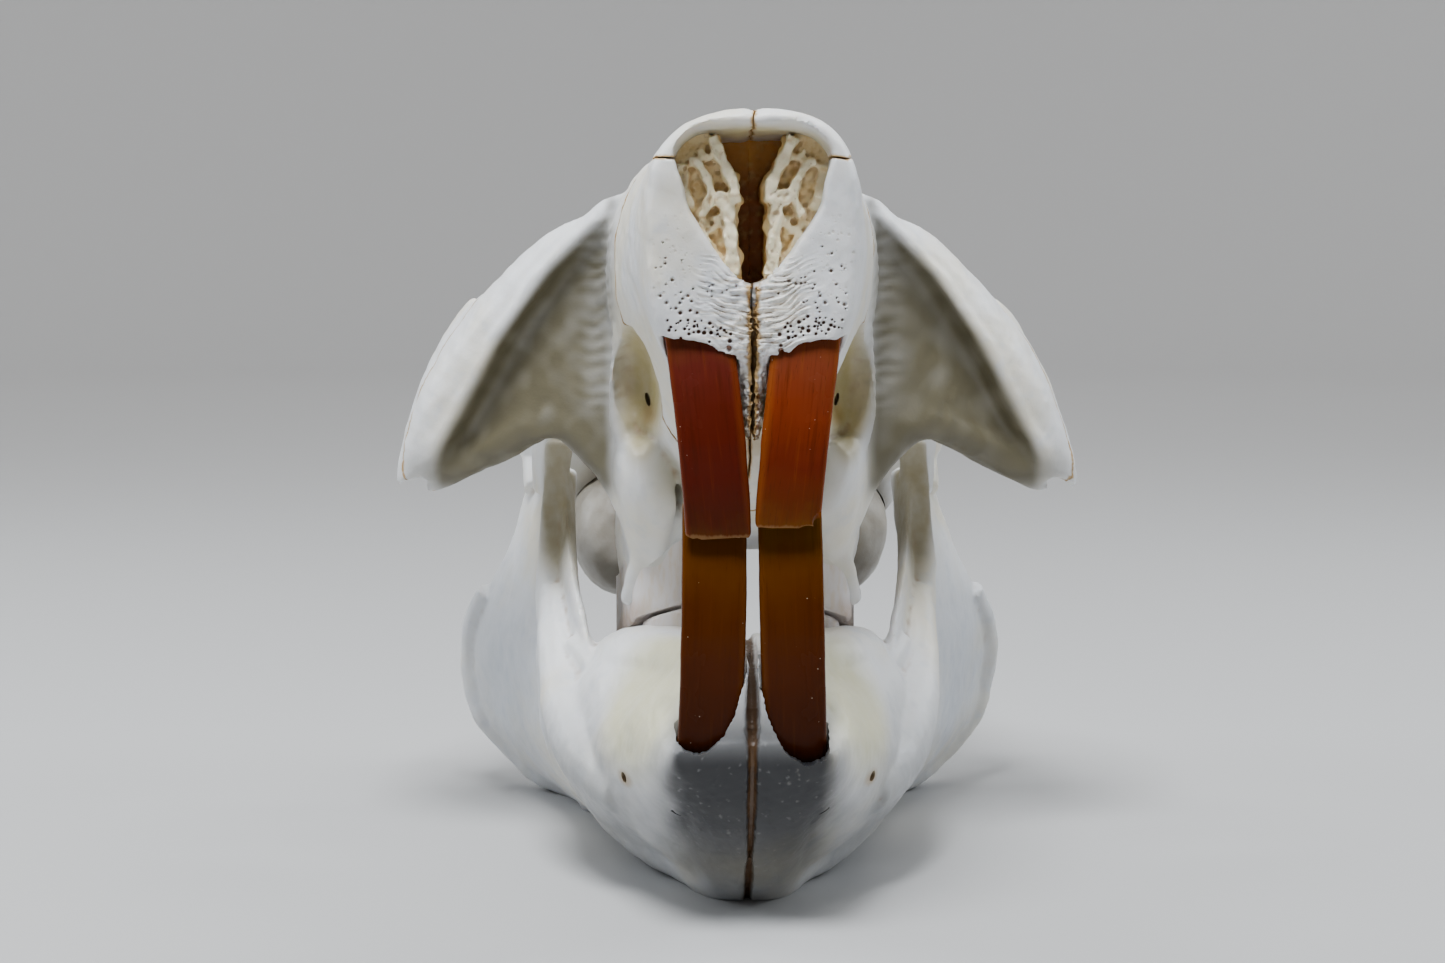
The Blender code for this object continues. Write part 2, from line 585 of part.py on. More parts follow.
def upper_face(side):
    """Cheek plate, arch, tooth-bearing part and teeth of one side."""
    pieces = [ribbon("plate", PLATE, RIBBON_BOW["plate"], side),
              ribbon("arch", ARCH, RIBBON_BOW["arch"], side),
              ribbon("maxilla_wall", MAXILLA_WALL, RIBBON_BOW["maxilla_wall"], side)]
    pieces += [tube(name, path, side) for name, path in FACE_RODS.items()]
    return pieces + tooth_row(UPPER_ROW, side, True)


def back_of_head(side):
    """Crests, ear tube, condyle and processes round the braincase of one side."""
    pieces = [tube(name, path, side) for name, path in HEAD_RODS.items()]
    return pieces + [ellipsoid("condyle", *CONDYLE, side), ellipsoid("mastoid", *MASTOID, side)]


def cranium_cutters():
    """Openings of the cranium: nasal opening, palate behind, foramen magnum and smaller holes."""
    nares = core("nares", NARES, 4)
    cut(nares, [turbinate(1), turbinate(-1)])
    cutters = [nares, tube("foramen_magnum", FORAMEN_MAGNUM, 1, 16, 2), tube("choana", CHOANA, 1, 12, 2)]
    for side in (1, -1):
        cutters += [ellipsoid("infraorbital", *INFRAORBITAL, side, 12),
                    tube("infraorbital_hole", INFRAORBITAL_HOLE, side, 8, 2),
                    tube("ear_hole", EAR_HOLE, side, 9, 2),
                    incisor("socket", side, UPPER_INCISOR, GAP, 1.0)]
    return cutters


def suture_walls():
    """Thin walls that part the cranium into its bones."""
    half = GAP / 2
    midline = ((-6, 25), (-6, 120), (49.0, 120), (49.0, 84.0), (76.0, 77.4), (76.0, 25))
    walls = [nasal_wall(),
             prism("midline", midline, -half, half),
             box("premaxilla_back", (-12, 30 - half, 40), (12, 30 + half, 96.0)),
             slab_profile("frontal_wall", ((49.0, 110.0), (49.0, 84.0), (77.0, 77.0), (77.0, 110.0)), 24.0),
             box("maxilla_back", (-26, 76 - half, 25), (26, 76 + half, 77.4))]
    for side in (1, -1):
        low, high = sorted((side * 9.4, side * 30.0))
        walls.append(box("premaxilla_side", (low, 30 - half, 40), (high, 30 + half, 120)))
        walls.append(box("frontal_side", (side * 20.2 - half, 48.8, 76.0), (side * 20.2 + half, 78.0, 110.0)))
        for name, y in (("jugal_front", 58.5), ("jugal_back", 85.5)):
            low, high = sorted((side * 28.0, side * 56.0))
            walls.append(box(name, (low, y - half, 46), (high, y + half, 90)))
    return walls


def prism(name, outline, low, high):
    """Block with an outline in the y-z plane, between two values of x."""
    return skin(name, [np.array([(x, y, z) for y, z in outline]) for x in (low, high)])


def nasal_wall():
    """U-shaped channel under the nasal bones, whose sides leave through the roof."""
    rings = []
    for y, z, half in NASAL_CHANNEL:
        wide, high, low = half + GAP, z + CHANNEL_RISE, z - GAP
        outer = [(-wide, high), (-wide, low), (wide, low), (wide, high)]
        inner = [(half, high), (half, z), (-half, z), (-half, high)]
        rings.append(np.array([(x, y, h) for x, h in outer + inner]))
    return skin("nasal_wall", rings)


def slab_profile(name, path, half_width):
    """Thin wall along a path in the y-z plane, as wide as the given half width on both sides."""
    path = np.array(path, float)
    left, right = [], []
    for i, p in enumerate(path):
        before = path[max(i - 1, 0)]
        after = path[min(i + 1, len(path) - 1)]
        first = (p - before) if i else (after - p)
        second = (after - p) if i < len(path) - 1 else (p - before)
        first, second = first / np.linalg.norm(first), second / np.linalg.norm(second)
        normal = np.array([-(first + second)[1], (first + second)[0]])
        normal /= np.linalg.norm(normal)
        reach = GAP / 2 / max(0.3, abs(normal.dot(np.array([-first[1], first[0]]))))
        left.append(p + normal * reach)
        right.append(p - normal * reach)
    loop = left + right[::-1]
    rings = [np.array([(x, y, z) for y, z in loop]) for x in (-half_width, half_width)]
    return skin(name, rings)


CRANIUM_SEEDS = {
    "nasal_left": (-5, 25, 101.5), "nasal_right": (5, 25, 101.5),
    "premaxilla_left": (-13.4, 15, 80), "premaxilla_right": (13.4, 15, 80),
    "maxilla_left": (-15, 36, 72), "maxilla_right": (15, 36, 72),
    "frontal": (0, 62, 93), "braincase": (0, 100, 80),
    "jugal_left": (-48, 68, 60), "jugal_right": (48, 68, 60),
}


def build_cranium():
    """All the bones of the upper skull, as a dictionary of objects."""
    pieces = [core("core", CORE), ribbon("septum", SEPTUM, 0, 1)]
    for side in (1, -1):
        pieces += upper_face(side) + back_of_head(side)
    whole = fuse("cranium", pieces, CRANIUM_TRIANGLES)
    cut(whole, cranium_cutters())
    for side in (1, -1):
        cut(whole, [bulla_shape(side, GAP)])
    cut(whole, suture_walls())
    return bones_at(whole, CRANIUM_SEEDS)


def bulla_shape(side, grow=0.0):
    """Swollen ear capsule."""
    middle, radii, tilt = EAR_CAPSULE
    return ellipsoid("bulla", middle, [r + grow for r in radii], tilt, side, 16)


def build_jaw(side):
    """One half of the lower jaw with its cheek teeth."""
    pieces = [jaw_body("body", side),
              ribbon("ramus", RAMUS, RIBBON_BOW["ramus"], side),
              ribbon("coronoid", CORONOID, RIBBON_BOW["coronoid"], side),
              ellipsoid("condyle", *JAW_CONDYLE, side),
              incisor("sheath", side, {**LOWER_INCISOR, "tips": (SHEATH_END, SHEATH_END)}, SHEATH_WALL)]
    pieces += [tube(name, path, side) for name, path in JAW_RODS.items()]
    pieces += tooth_row(LOWER_ROW, side, False)
    name = "mandible_right" if side > 0 else "mandible_left"
    jaw = fuse(name, pieces, JAW_TRIANGLES)
    low, high = sorted((side * -30.0, side * GAP / 2))
    cut(jaw, [incisor("socket", side, LOWER_INCISOR, GAP, 1.0),
              box("midline", (low, -20, -20), (high, 120, 120)),
              box("floor", (-80, -20, -20), (80, 140, FOOT_LEVEL)),
              tube("mental_hole", MENTAL_HOLE, side, 7, 1)])
    return largest(jaw)


def build_incisors():
    """The four incisors with their worn cutting edges."""
    teeth = {}
    for level, shape in (("upper", UPPER_INCISOR), ("lower", LOWER_INCISOR)):
        for word, side in (("left", -1), ("right", 1)):
            name = level + "_incisor_" + word
            tooth = incisor(name, side, shape)
            cut(tooth, [wear_facet(side, shape)])
            teeth[name] = tooth
    return teeth


def material(name, colour, roughness):
    """Plain Principled finish."""
    finish = bpy.data.materials.new(name)
    finish.use_nodes = True
    shader = finish.node_tree.nodes["Principled BSDF"]
    shader.inputs["Base Color"].default_value = (*colour, 1.0)
    shader.inputs["Roughness"].default_value = roughness
    shader.inputs["Metallic"].default_value = 0.0
    return finish


def finish_for(name):
    """Bone for the bones, orange enamel for the incisors."""
    if name.startswith("upper_incisor"):
        return material(name, (0.36, 0.07, 0.02), 0.28)
    if name.startswith("lower_incisor"):
        return material(name, (0.40, 0.15, 0.02), 0.3)
    return material(name, (0.80, 0.76, 0.66), 0.5)


def main():
    """Build every bone and tooth, and set the origin in the middle of the footprint."""
    for obj in list(bpy.data.objects):
        bpy.data.objects.remove(obj)
    bones = build_cranium()
    for word, side in (("left", -1), ("right", 1)):
        bones["bulla_" + word] = bulla_shape(side)
        bones["mandible_" + word] = build_jaw(side)
    bones.update(build_incisors())
    shelf = bpy.data.collections.new("beaver_skull")
    bpy.context.scene.collection.children.link(shelf)
    places = np.vstack([[v.co for v in obj.data.vertices] for obj in bones.values()])
    middle = (places.min(axis=0) + places.max(axis=0)) / 2
    for name, obj in bones.items():
        obj.name = name
        obj.data.name = name
        for vertex in obj.data.vertices:
            vertex.co.y -= middle[1]
        obj.data.materials.clear()
        obj.data.materials.append(finish_for(name))
        bpy.context.scene.collection.objects.unlink(obj)
        shelf.objects.link(obj)


main()
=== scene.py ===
import logging
import math
from collections.abc import Callable, Iterable, Sequence
from dataclasses import dataclass, field, replace
from enum import Enum

import bmesh
import bpy
import numpy as np
from mathutils import Matrix, Vector


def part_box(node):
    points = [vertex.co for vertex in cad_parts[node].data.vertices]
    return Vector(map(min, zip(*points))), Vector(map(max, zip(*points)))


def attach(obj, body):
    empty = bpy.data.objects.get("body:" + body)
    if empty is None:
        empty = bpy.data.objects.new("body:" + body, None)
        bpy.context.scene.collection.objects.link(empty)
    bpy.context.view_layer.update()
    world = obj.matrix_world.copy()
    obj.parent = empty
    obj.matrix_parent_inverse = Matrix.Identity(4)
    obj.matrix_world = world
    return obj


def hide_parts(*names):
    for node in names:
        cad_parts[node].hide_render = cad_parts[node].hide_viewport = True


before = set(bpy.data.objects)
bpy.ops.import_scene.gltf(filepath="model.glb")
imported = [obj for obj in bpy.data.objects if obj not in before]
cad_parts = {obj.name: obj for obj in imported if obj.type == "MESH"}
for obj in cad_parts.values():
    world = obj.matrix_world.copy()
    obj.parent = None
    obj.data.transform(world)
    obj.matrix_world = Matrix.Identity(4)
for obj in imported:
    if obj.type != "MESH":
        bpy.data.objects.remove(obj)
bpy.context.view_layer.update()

logging.basicConfig(level=logging.INFO, format="%(relativeCreated)7.0f ms  %(message)s")
LOG = logging.getLogger("beaver_skull")

Row = Sequence[float]
Table = Sequence[Row]
Colour = tuple[float, float, float]
MM = 0.001
BODY = "root"
BONE_SLOT, UPPER_SLOT, LOWER_SLOT = "bone", "upper_enamel", "lower_enamel"
# Row y of the incisor front in millimetres, where the shaping frame has y = 0
FRONT_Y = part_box("upper_incisor_left")[0][1] / MM
TO_ROW = (0.0, FRONT_Y, 0.0)
SECTION_POINTS = 72
SMALLEST_BONE = 400


class Side(Enum):
    """Left or right of someone who faces the incisors."""

    LEFT = -1
    RIGHT = 1

    @property
    def word(self) -> str:
        """Lower-case name of the side."""
        return self.name.lower()


class Level(Enum):
    """Upper or lower teeth."""

    UPPER = "upper"
    LOWER = "lower"


# Shapes in numbers


def smooth_rows(rows: Table, steps: int) -> np.ndarray:
    """Catmull-Rom interpolation of rows of equal length.

    Args:
        rows: the rows to pass through.
        steps: new rows from each given one to the next.

    Returns:
        The finer table.
    """
    given = np.array(rows, float)
    padded = np.vstack([2 * given[0] - given[1], given, 2 * given[-1] - given[-2]])
    made = []
    for i in range(len(given) - 1):
        a, b, c, d = padded[i:i + 4]
        for t in np.arange(steps) / steps:
            made.append(0.5 * (2 * b + (c - a) * t + (2 * a - 5 * b + 4 * c - d) * t * t
                               + (3 * b - a - 3 * c + d) * t ** 3))
    made.append(given[-1])
    return np.array(made)


def superellipse(angle: float, power: float) -> tuple[float, float]:
    """Factors across and up on a superellipse at an angle.

    Args:
        angle: the angle in radians.
        power: 2 for an ellipse, more for a squarer section.

    Returns:
        The two factors, from -1 to 1.
    """
    across, up = math.cos(angle), math.sin(angle)
    return (math.copysign(abs(across) ** (2 / power), across), math.copysign(abs(up) ** (2 / power), up))


def level_width(up: float, upper: float, middle: float, lower: float) -> float:
    """Half width at a height between -1 and 1.

    Args:
        up: the height.
        upper: half width at 0.6.
        middle: half width at 0.
        lower: half width at -0.6.

    Returns:
        The half width on the parabola through the three.
    """
    k = max(-1.2, min(1.2, up / 0.6))
    return middle + (upper - lower) / 2 * k + ((upper + lower) / 2 - middle) * k * k


def section(y: float, top: float, bottom: float, powers: tuple[float, float],
            edges: Callable[[float], tuple[float, float]]) -> np.ndarray:
    """Rounded section of a bone, square to the length of the head.

    Args:
        y: where it stands.
        top: its highest z.
        bottom: its lowest z.
        powers: squareness of the upper and of the lower half.
        edges: gives the two ends in x at a height between -1 and 1.

    Returns:
        The ring of points.
    """
    ring = []
    for i in range(SECTION_POINTS):
        angle = 2 * math.pi * (i + 0.5) / SECTION_POINTS
        across, up = superellipse(angle, powers[0] if angle < math.pi else powers[1])
        inner, outer = edges(up)
        ring.append(((inner + outer) / 2 + (outer - inner) / 2 * across, y,
                     (top + bottom) / 2 + (top - bottom) / 2 * up))
    return np.array(ring)


def wander(u: np.ndarray, v: np.ndarray, seed: float) -> np.ndarray:
    """Irregular zigzag between about -1 and 1, for the edge of a suture.

    Args:
        u: distance along the suture in millimetres.
        v: distance across the wall in millimetres.
        seed: shifts the pattern.

    Returns:
        The offset at each place.
    """
    slow = np.sin(u * 0.71 + 1.7 * np.sin(u * 0.23 + seed) + 0.3 * v + seed * 3.1)
    quick = np.sin(u * 2.9 + 1.3 * np.sin(u * 0.9 + seed * 2.0) + 0.5 * v)
    fine = np.sin(u * 6.7 + 2.1 * np.sin(u * 1.9 - seed) - 0.8 * v)
    return 0.5 * slow + 0.34 * quick + 0.2 * fine


def swell(points: np.ndarray, scale: float, seed: int) -> np.ndarray:
    """Smooth random field built from waves in many directions.

    Args:
        points: places in millimetres.
        scale: size of the swells in millimetres.
        seed: seed of the directions and phases.

    Returns:
        One value for each place, mostly between -1 and 1.
    """
    rng = np.random.default_rng(seed)
    total = np.zeros(len(points))
    count = 14
    for _ in range(count):
        direction = rng.normal(size=3)
        direction /= np.linalg.norm(direction)
        wave = scale * rng.uniform(0.7, 1.8)
        total += np.sin(points @ direction * (2 * math.pi / wave) + rng.uniform(0, 2 * math.pi))
    return total / math.sqrt(count)


def fade(values: np.ndarray, start: float, end: float) -> np.ndarray:
    """Smooth step from 0 at start to 1 at end.

    Args:
        values: the values to grade.
        start: where the result is 0.
        end: where the result is 1; it may be below start.

    Returns:
        The graded values.
    """
    t = np.clip((values - start) / (end - start), 0.0, 1.0)
    return t * t * (3 - 2 * t)


def ragged(outline: Sequence[tuple[float, float]], amount: float, seed: float) -> np.ndarray:
    """Outline with a smooth course and a slightly broken edge.

    Args:
        outline: its corners.
        amount: how far the edge strays, in millimetres.
        seed: shifts the pattern.

    Returns:
        The finer outline.
    """
    course = smooth_rows(outline, 9)
    along = np.gradient(course, axis=0)
    along /= np.maximum(np.linalg.norm(along, axis=1), 1e-6)[:, None]
    distance = np.cumsum(np.concatenate([[0.0], np.linalg.norm(np.diff(course, axis=0), axis=1)]))
    stray = amount * wander(distance * 2.2, np.zeros(len(distance)), seed)
    return course + np.stack([-along[:, 1], along[:, 0]], axis=1) * stray[:, None]


@dataclass(frozen=True)
class Pits:
    """Small holes for blood vessels, scattered over patches that face forwards.

    A patch is its middle in x and z, its spread in x and z, its lean, the number of holes on each side,
    and the radius of the smallest and of the largest. Nothing behind y = back gets a hole.
    """

    patches: Table
    back: float
    seed: int = 7
    spacing: float = 1.25
    rarity: float = 2.2
    slope: float = 1.5

    def rows(self) -> np.ndarray:
        """The x, z and radius of each hole."""
        rng = np.random.default_rng(self.seed)
        made: list[tuple[float, float, float]] = []
        for x, z, wide, high, lean, count, small, large in self.patches:
            for side in (-1, 1):
                for _ in range(int(count)):
                    across = rng.normal() * wide
                    size = small + (large - small) * rng.random() ** self.rarity
                    pit = (side * (x + across), z + lean * across + rng.normal() * high, size)
                    clear = [math.hypot(pit[0] - a, pit[1] - b) > self.spacing * (size + c) for a, b, c in made]
                    if all(clear):
                        made.append(pit)
        return np.array(made)

    def depth(self, points: np.ndarray) -> np.ndarray:
        """How deep each place lies in a hole, from 0 outside to 1.

        Args:
            points: places in millimetres.

        Returns:
            One value for each place.
        """
        total = np.zeros(len(points))
        near = np.nonzero(points[:, 1] < self.back)[0]
        for x, z, size in self.rows():
            away = np.hypot(points[near, 0] - x, points[near, 2] - z) / size
            total[near] = np.maximum(total[near], np.clip(self.slope - away, 0.0, 1.0))
        return total


@dataclass
class Shell:
    """Closed surface in millimetres, in the shaping frame where y = 0 is the incisor front."""

    points: np.ndarray
    faces: list[tuple[int, ...]]

    @staticmethod
    def loft(rings: Sequence[np.ndarray]) -> "Shell":
        """Surface through rings that hold the same number of points.

        Args:
            rings: the sections in order.

        Returns:
            The closed loft with a flat cap at each end.
        """
        count = len(rings[0])
        last = (len(rings) - 1) * count
        faces = [(i + k, i + (k + 1) % count, i + count + (k + 1) % count, i + count + k)
                 for i in range(0, last, count) for k in range(count)]
        faces += [tuple(range(count)), tuple(range(last, last + count))]
        return Shell(np.vstack(rings), faces)

    @staticmethod
    def tube(path: Table, sides: int = 18, steps: int = 6) -> "Shell":
        """Round rod.

        Args:
            path: rows of x, y, z and radius.
            sides: points round each section.
            steps: sections from each row to the next.

        Returns:
            The rod.
        """
        rows = smooth_rows(path, steps)
        centres, radii = rows[:, :3], rows[:, 3]
        rings = []
        for centre, radius, along in zip(centres, radii, np.gradient(centres, axis=0)):
            way = Vector(along).normalized()
            first = way.cross(Vector((1, 0, 0))) if abs(way.x) < 0.9 else way.orthogonal()
            first.normalize()
            second = way.cross(first)
            turn = 2 * math.pi * np.arange(sides) / sides
            rings.append(centre + radius * (np.outer(np.cos(turn), first) + np.outer(np.sin(turn), second)))
        return Shell.loft(rings)

    @staticmethod
    def ball(centre: Row, radii: Row, tilt: Row = (0, 0, 0), sides: int = 40) -> "Shell":
        """Ellipsoid.

        Args:
            centre: its middle.
            radii: its three half sizes.
            tilt: turns about X, Y and Z in degrees.
            sides: points round it.

        Returns:
            The ellipsoid.
        """
        made = bmesh.new()
        bmesh.ops.create_uvsphere(made, u_segments=sides, v_segments=sides // 2, radius=1.0)
        points = np.array([v.co for v in made.verts]) * np.array(radii)
        faces = [tuple(v.index for v in f.verts) for f in made.faces]
        made.free()
        about_x, about_y, about_z = (Matrix.Rotation(math.radians(t), 3, axis) for t, axis in zip(tilt, "XYZ"))
        return Shell(points @ np.array(about_z @ about_y @ about_x).T + np.array(centre), faces)

    @staticmethod
    def sheet(table: Table, bow: float, sides: int = 48, steps: int = 8) -> "Shell":
        """Curved plate with rounded borders.

        Args:
            table: rows of one edge point, the other edge point and the thickness.
            bow: how far the middle stands off the straight line between the edges.
            sides: points round each section.
            steps: sections from each row to the next.

        Returns:
            The plate.
        """
        rows = smooth_rows([(*first, *second, thick) for first, second, thick in table], steps)
        middles = (rows[:, :3] + rows[:, 3:6]) / 2
        rings = []
        for row, along in zip(rows, np.gradient(middles, axis=0)):
            start, end, wall = row[:3], row[3:6], row[6]
            chord = end - start
            normal = np.cross(chord, along)
            normal /= np.linalg.norm(normal)
            half = 0.5 + 0.5 * wall / np.linalg.norm(chord)
            ring = []
            for i in range(sides):
                across, out = superellipse(2 * math.pi * i / sides, 2.0)
                ring.append((start + end) / 2 + chord * across * half
                            + normal * (out * wall / 2 + bow * (1 - across * across)))
            rings.append(np.array(ring))
        return Shell.loft(rings)

    @staticmethod
    def side_block(outline: Sequence[Row], low: float, high: float) -> "Shell":
        """Block with an outline of y and z, from one x to another."""
        return Shell.loft([np.array([(x, y, z) for y, z in outline]) for x in (low, high)])

    @staticmethod
    def front_block(outline: Sequence[Row], near: float, far: float) -> "Shell":
        """Block with an outline of x and z, from one y to another."""
        return Shell.loft([np.array([(x, y, z) for x, z in outline]) for y in (near, far)])

    @staticmethod
    def join(shells: Iterable["Shell"]) -> "Shell":
        """All the given shells as one.

        Args:
            shells: the shells, which may overlap.

        Returns:
            Their points and faces together.
        """
        points, faces, start = [], [], 0
        for shell in shells:
            points.append(shell.points)
            faces += [tuple(start + i for i in face) for face in shell.faces]
            start += len(shell.points)
        return Shell(np.vstack(points), faces)

    def on(self, side: Side) -> "Shell":
        """The shell as drawn for the right, or its mirror image for the left."""
        return Shell(self.points * np.array([side.value, 1, 1]), self.faces)

    def solid(self, name: str) -> bpy.types.Object:
        """Blender object in row coordinates, with its normals facing out.

        Args:
            name: name of the object.

        Returns:
            The new object.
        """
        mesh = bpy.data.meshes.new(name)
        mesh.from_pydata([tuple(p) for p in (self.points + TO_ROW) * MM], [], self.faces)
        made = bmesh.new()
        made.from_mesh(mesh)
        bmesh.ops.recalc_face_normals(made, faces=made.faces)
        made.to_mesh(mesh)
        made.free()
        obj = bpy.data.objects.new(name, mesh)
        bpy.context.scene.collection.objects.link(obj)
        return obj


@dataclass(frozen=True)
class SutureWall:
    """Thin uneven wall that parts two bones.

    It stands across one axis at a level, and covers the ranges first and second of the other two axes,
    but only where keep is true.
    """

    axis: int
    level: Callable[[np.ndarray, np.ndarray], np.ndarray]
    first: tuple[float, float]
    second: tuple[float, float]
    gap: float = 0.22
    rough: float = 0.4
    seed: float = 0.0
    keep: Callable[[np.ndarray, np.ndarray], np.ndarray] | None = None
    step: float = 0.7

    def near(self, points: np.ndarray, reach: float) -> np.ndarray:
        """How near each place lies to the wall, from 0 to 1.

        Args:
            points: places in millimetres.
            reach: distance over which the nearness falls off.

        Returns:
            One value for each place.
        """
        u, v = (points[:, a] for a in (0, 1, 2) if a != self.axis)
        middle = self.level(u, v) + self.rough * wander(u + v, u - v, self.seed)
        inside = (u > self.first[0]) & (u < self.first[1]) & (v > self.second[0]) & (v < self.second[1])
        if self.keep:
            inside &= self.keep(u, v)
        return np.where(inside, np.exp(-((points[:, self.axis] - middle) / reach) ** 2), 0.0)

    def shell(self) -> Shell:
        """The wall as a closed shell."""
        u = np.arange(self.first[0], self.first[1] + self.step, self.step)
        v = np.arange(self.second[0], self.second[1] + self.step, self.step)
        grid_u, grid_v = np.meshgrid(u, v, indexing="ij")
        middle = self.level(grid_u, grid_v) + self.rough * wander(grid_u + grid_v, grid_u - grid_v, self.seed)
        kept = np.ones((len(u) - 1, len(v) - 1), bool)
        if self.keep:
            kept = self.keep(grid_u[:-1, :-1] + self.step / 2, grid_v[:-1, :-1] + self.step / 2)
        others = [a for a in (0, 1, 2) if a != self.axis]
        layers = []
        for offset in (-self.gap / 2, self.gap / 2):
            layer = np.zeros((*grid_u.shape, 3))
            layer[..., others[0]], layer[..., others[1]] = grid_u, grid_v
            layer[..., self.axis] = middle + offset
            layers.append(layer.reshape(-1, 3))
        count, width = grid_u.size, len(v)
        faces: list[tuple[int, ...]] = []
        for i, j in zip(*np.nonzero(kept)):
            a, b, c, d = i * width + j, (i + 1) * width + j, (i + 1) * width + j + 1, i * width + j + 1
            faces += [(a, b, c, d), (a + count, d + count, c + count, b + count)]
            for (p, q), (di, dj) in zip(((a, b), (b, c), (c, d), (d, a)), ((0, -1), (1, 0), (0, 1), (-1, 0))):
                ni, nj = i + di, j + dj
                if not (0 <= ni < kept.shape[0] and 0 <= nj < kept.shape[1] and kept[ni, nj]):
                    faces.append((p, p + count, q + count, q))
        points = np.vstack(layers)
        used = sorted({k for face in faces for k in face})
        order = {k: n for n, k in enumerate(used)}
        return Shell(points[used], [tuple(order[k] for k in face) for face in faces])


# Bodies in Blender


@dataclass
class Body:
    """A Blender mesh that is melted, carved and shaped."""

    obj: bpy.types.Object

    @staticmethod
    def from_shell(name: str, shell: Shell) -> "Body":
        """Body with the surface of a shell."""
        return Body(shell.solid(name))

    @staticmethod
    def from_triangles(name: str, points: np.ndarray, triangles: np.ndarray) -> "Body":
        """Body from row coordinates in metres.

        Args:
            name: name of the object.
            points: its vertices.
            triangles: three indices for each face.

        Returns:
            The new body.
        """
        mesh = bpy.data.meshes.new(name)
        mesh.vertices.add(len(points))
        mesh.vertices.foreach_set("co", points.astype(np.float32).ravel())
        mesh.loops.add(triangles.size)
        mesh.polygons.add(len(triangles))
        mesh.polygons.foreach_set("loop_start", np.arange(0, triangles.size, 3, dtype=np.int32))
        mesh.polygons.foreach_set("vertices", triangles.astype(np.int32).ravel())
        mesh.update(calc_edges=True)
        mesh.validate()
        obj = bpy.data.objects.new(name, mesh)
        bpy.context.scene.collection.objects.link(obj)
        return Body(obj)

    def modify(self, kind: str, **settings: object) -> "Body":
        """Add one modifier and apply it.

        Args:
            kind: type of the modifier.
            **settings: its properties.

        Returns:
            This body.
        """
        step = self.obj.modifiers.new("step", kind)
        for name, value in settings.items():
            setattr(step, name, value)
        bpy.context.view_layer.update()
        seen = self.obj.evaluated_get(bpy.context.evaluated_depsgraph_get())
        mesh = bpy.data.meshes.new_from_object(seen)
        old = self.obj.data
        self.obj.modifiers.clear()
        self.obj.data = mesh
        bpy.data.meshes.remove(old)
        return self

    def melt(self, voxel: float, relax: int) -> "Body":
        """Voxel remesh, then smoothing.

        Args:
            voxel: voxel size in millimetres.
            relax: passes of smoothing.

        Returns:
            This body.
        """
        self.modify("REMESH", mode="VOXEL", voxel_size=voxel * MM)
        return self.modify("SMOOTH", factor=0.5, iterations=relax)

    def carve(self, cutter: Shell) -> "Body":
        """Cut a closed shell away from this body."""
        tool = Body.from_shell("cutter", cutter)
        self.modify("BOOLEAN", operation="DIFFERENCE", solver="MANIFOLD", object=tool.obj)
        tool.discard()
        return self

    def points(self) -> np.ndarray:
        """Vertices in millimetres in the shaping frame."""
        flat = np.empty(len(self.obj.data.vertices) * 3, np.float32)
        self.obj.data.vertices.foreach_get("co", flat)
        return flat.reshape(-1, 3).astype(float) / MM - TO_ROW

    def normals(self) -> np.ndarray:
        """Vertex normals."""
        flat = np.empty(len(self.obj.data.vertices) * 3, np.float32)
        self.obj.data.vertex_normals.foreach_get("vector", flat)
        return flat.reshape(-1, 3).astype(float)

    def place(self, points: np.ndarray) -> "Body":
        """Move the vertices to places in millimetres in the shaping frame.

        Args:
            points: one place for each vertex.

        Returns:
            This body.
        """
        self.obj.data.vertices.foreach_set("co", ((points + TO_ROW) * MM).astype(np.float32).ravel())
        self.obj.data.update()
        return self

    def push(self, amount: Callable[[np.ndarray], np.ndarray]) -> "Body":
        """Displace along the normals.

        Args:
            amount: gives the distance in millimetres at each place.

        Returns:
            This body.
        """
        points = self.points()
        return self.place(points + self.normals() * amount(points)[:, None])

    def refine(self, chosen: Callable[[np.ndarray], np.ndarray], cuts: int) -> "Body":
        """Divide the faces of one area into smaller ones.

        Args:
            chosen: tells of each place whether it lies in the area.
            cuts: new vertices on each edge.

        Returns:
            This body.
        """
        inside = chosen(self.points())
        made = bmesh.new()
        made.from_mesh(self.obj.data)
        made.verts.ensure_lookup_table()
        edges = [edge for edge in made.edges if inside[edge.verts[0].index] and inside[edge.verts[1].index]]
        bmesh.ops.subdivide_edges(made, edges=edges, cuts=cuts, use_grid_fill=True)
        made.to_mesh(self.obj.data)
        made.free()
        return self

    def tone(self, name: str, values: np.ndarray) -> "Body":
        """Store one number for each vertex, for the material to read.

        Args:
            name: name of the attribute.
            values: the numbers.

        Returns:
            This body.
        """
        layer = self.obj.data.attributes.new(name, "FLOAT", "POINT")
        layer.data.foreach_set("value", values.astype(np.float32))
        return self

    def triangles(self) -> np.ndarray:
        """Triangles of the mesh as vertex indices."""
        self.modify("TRIANGULATE")
        flat = np.empty(len(self.obj.data.loops), np.int32)
        self.obj.data.loops.foreach_get("vertex_index", flat)
        return flat.reshape(-1, 3)

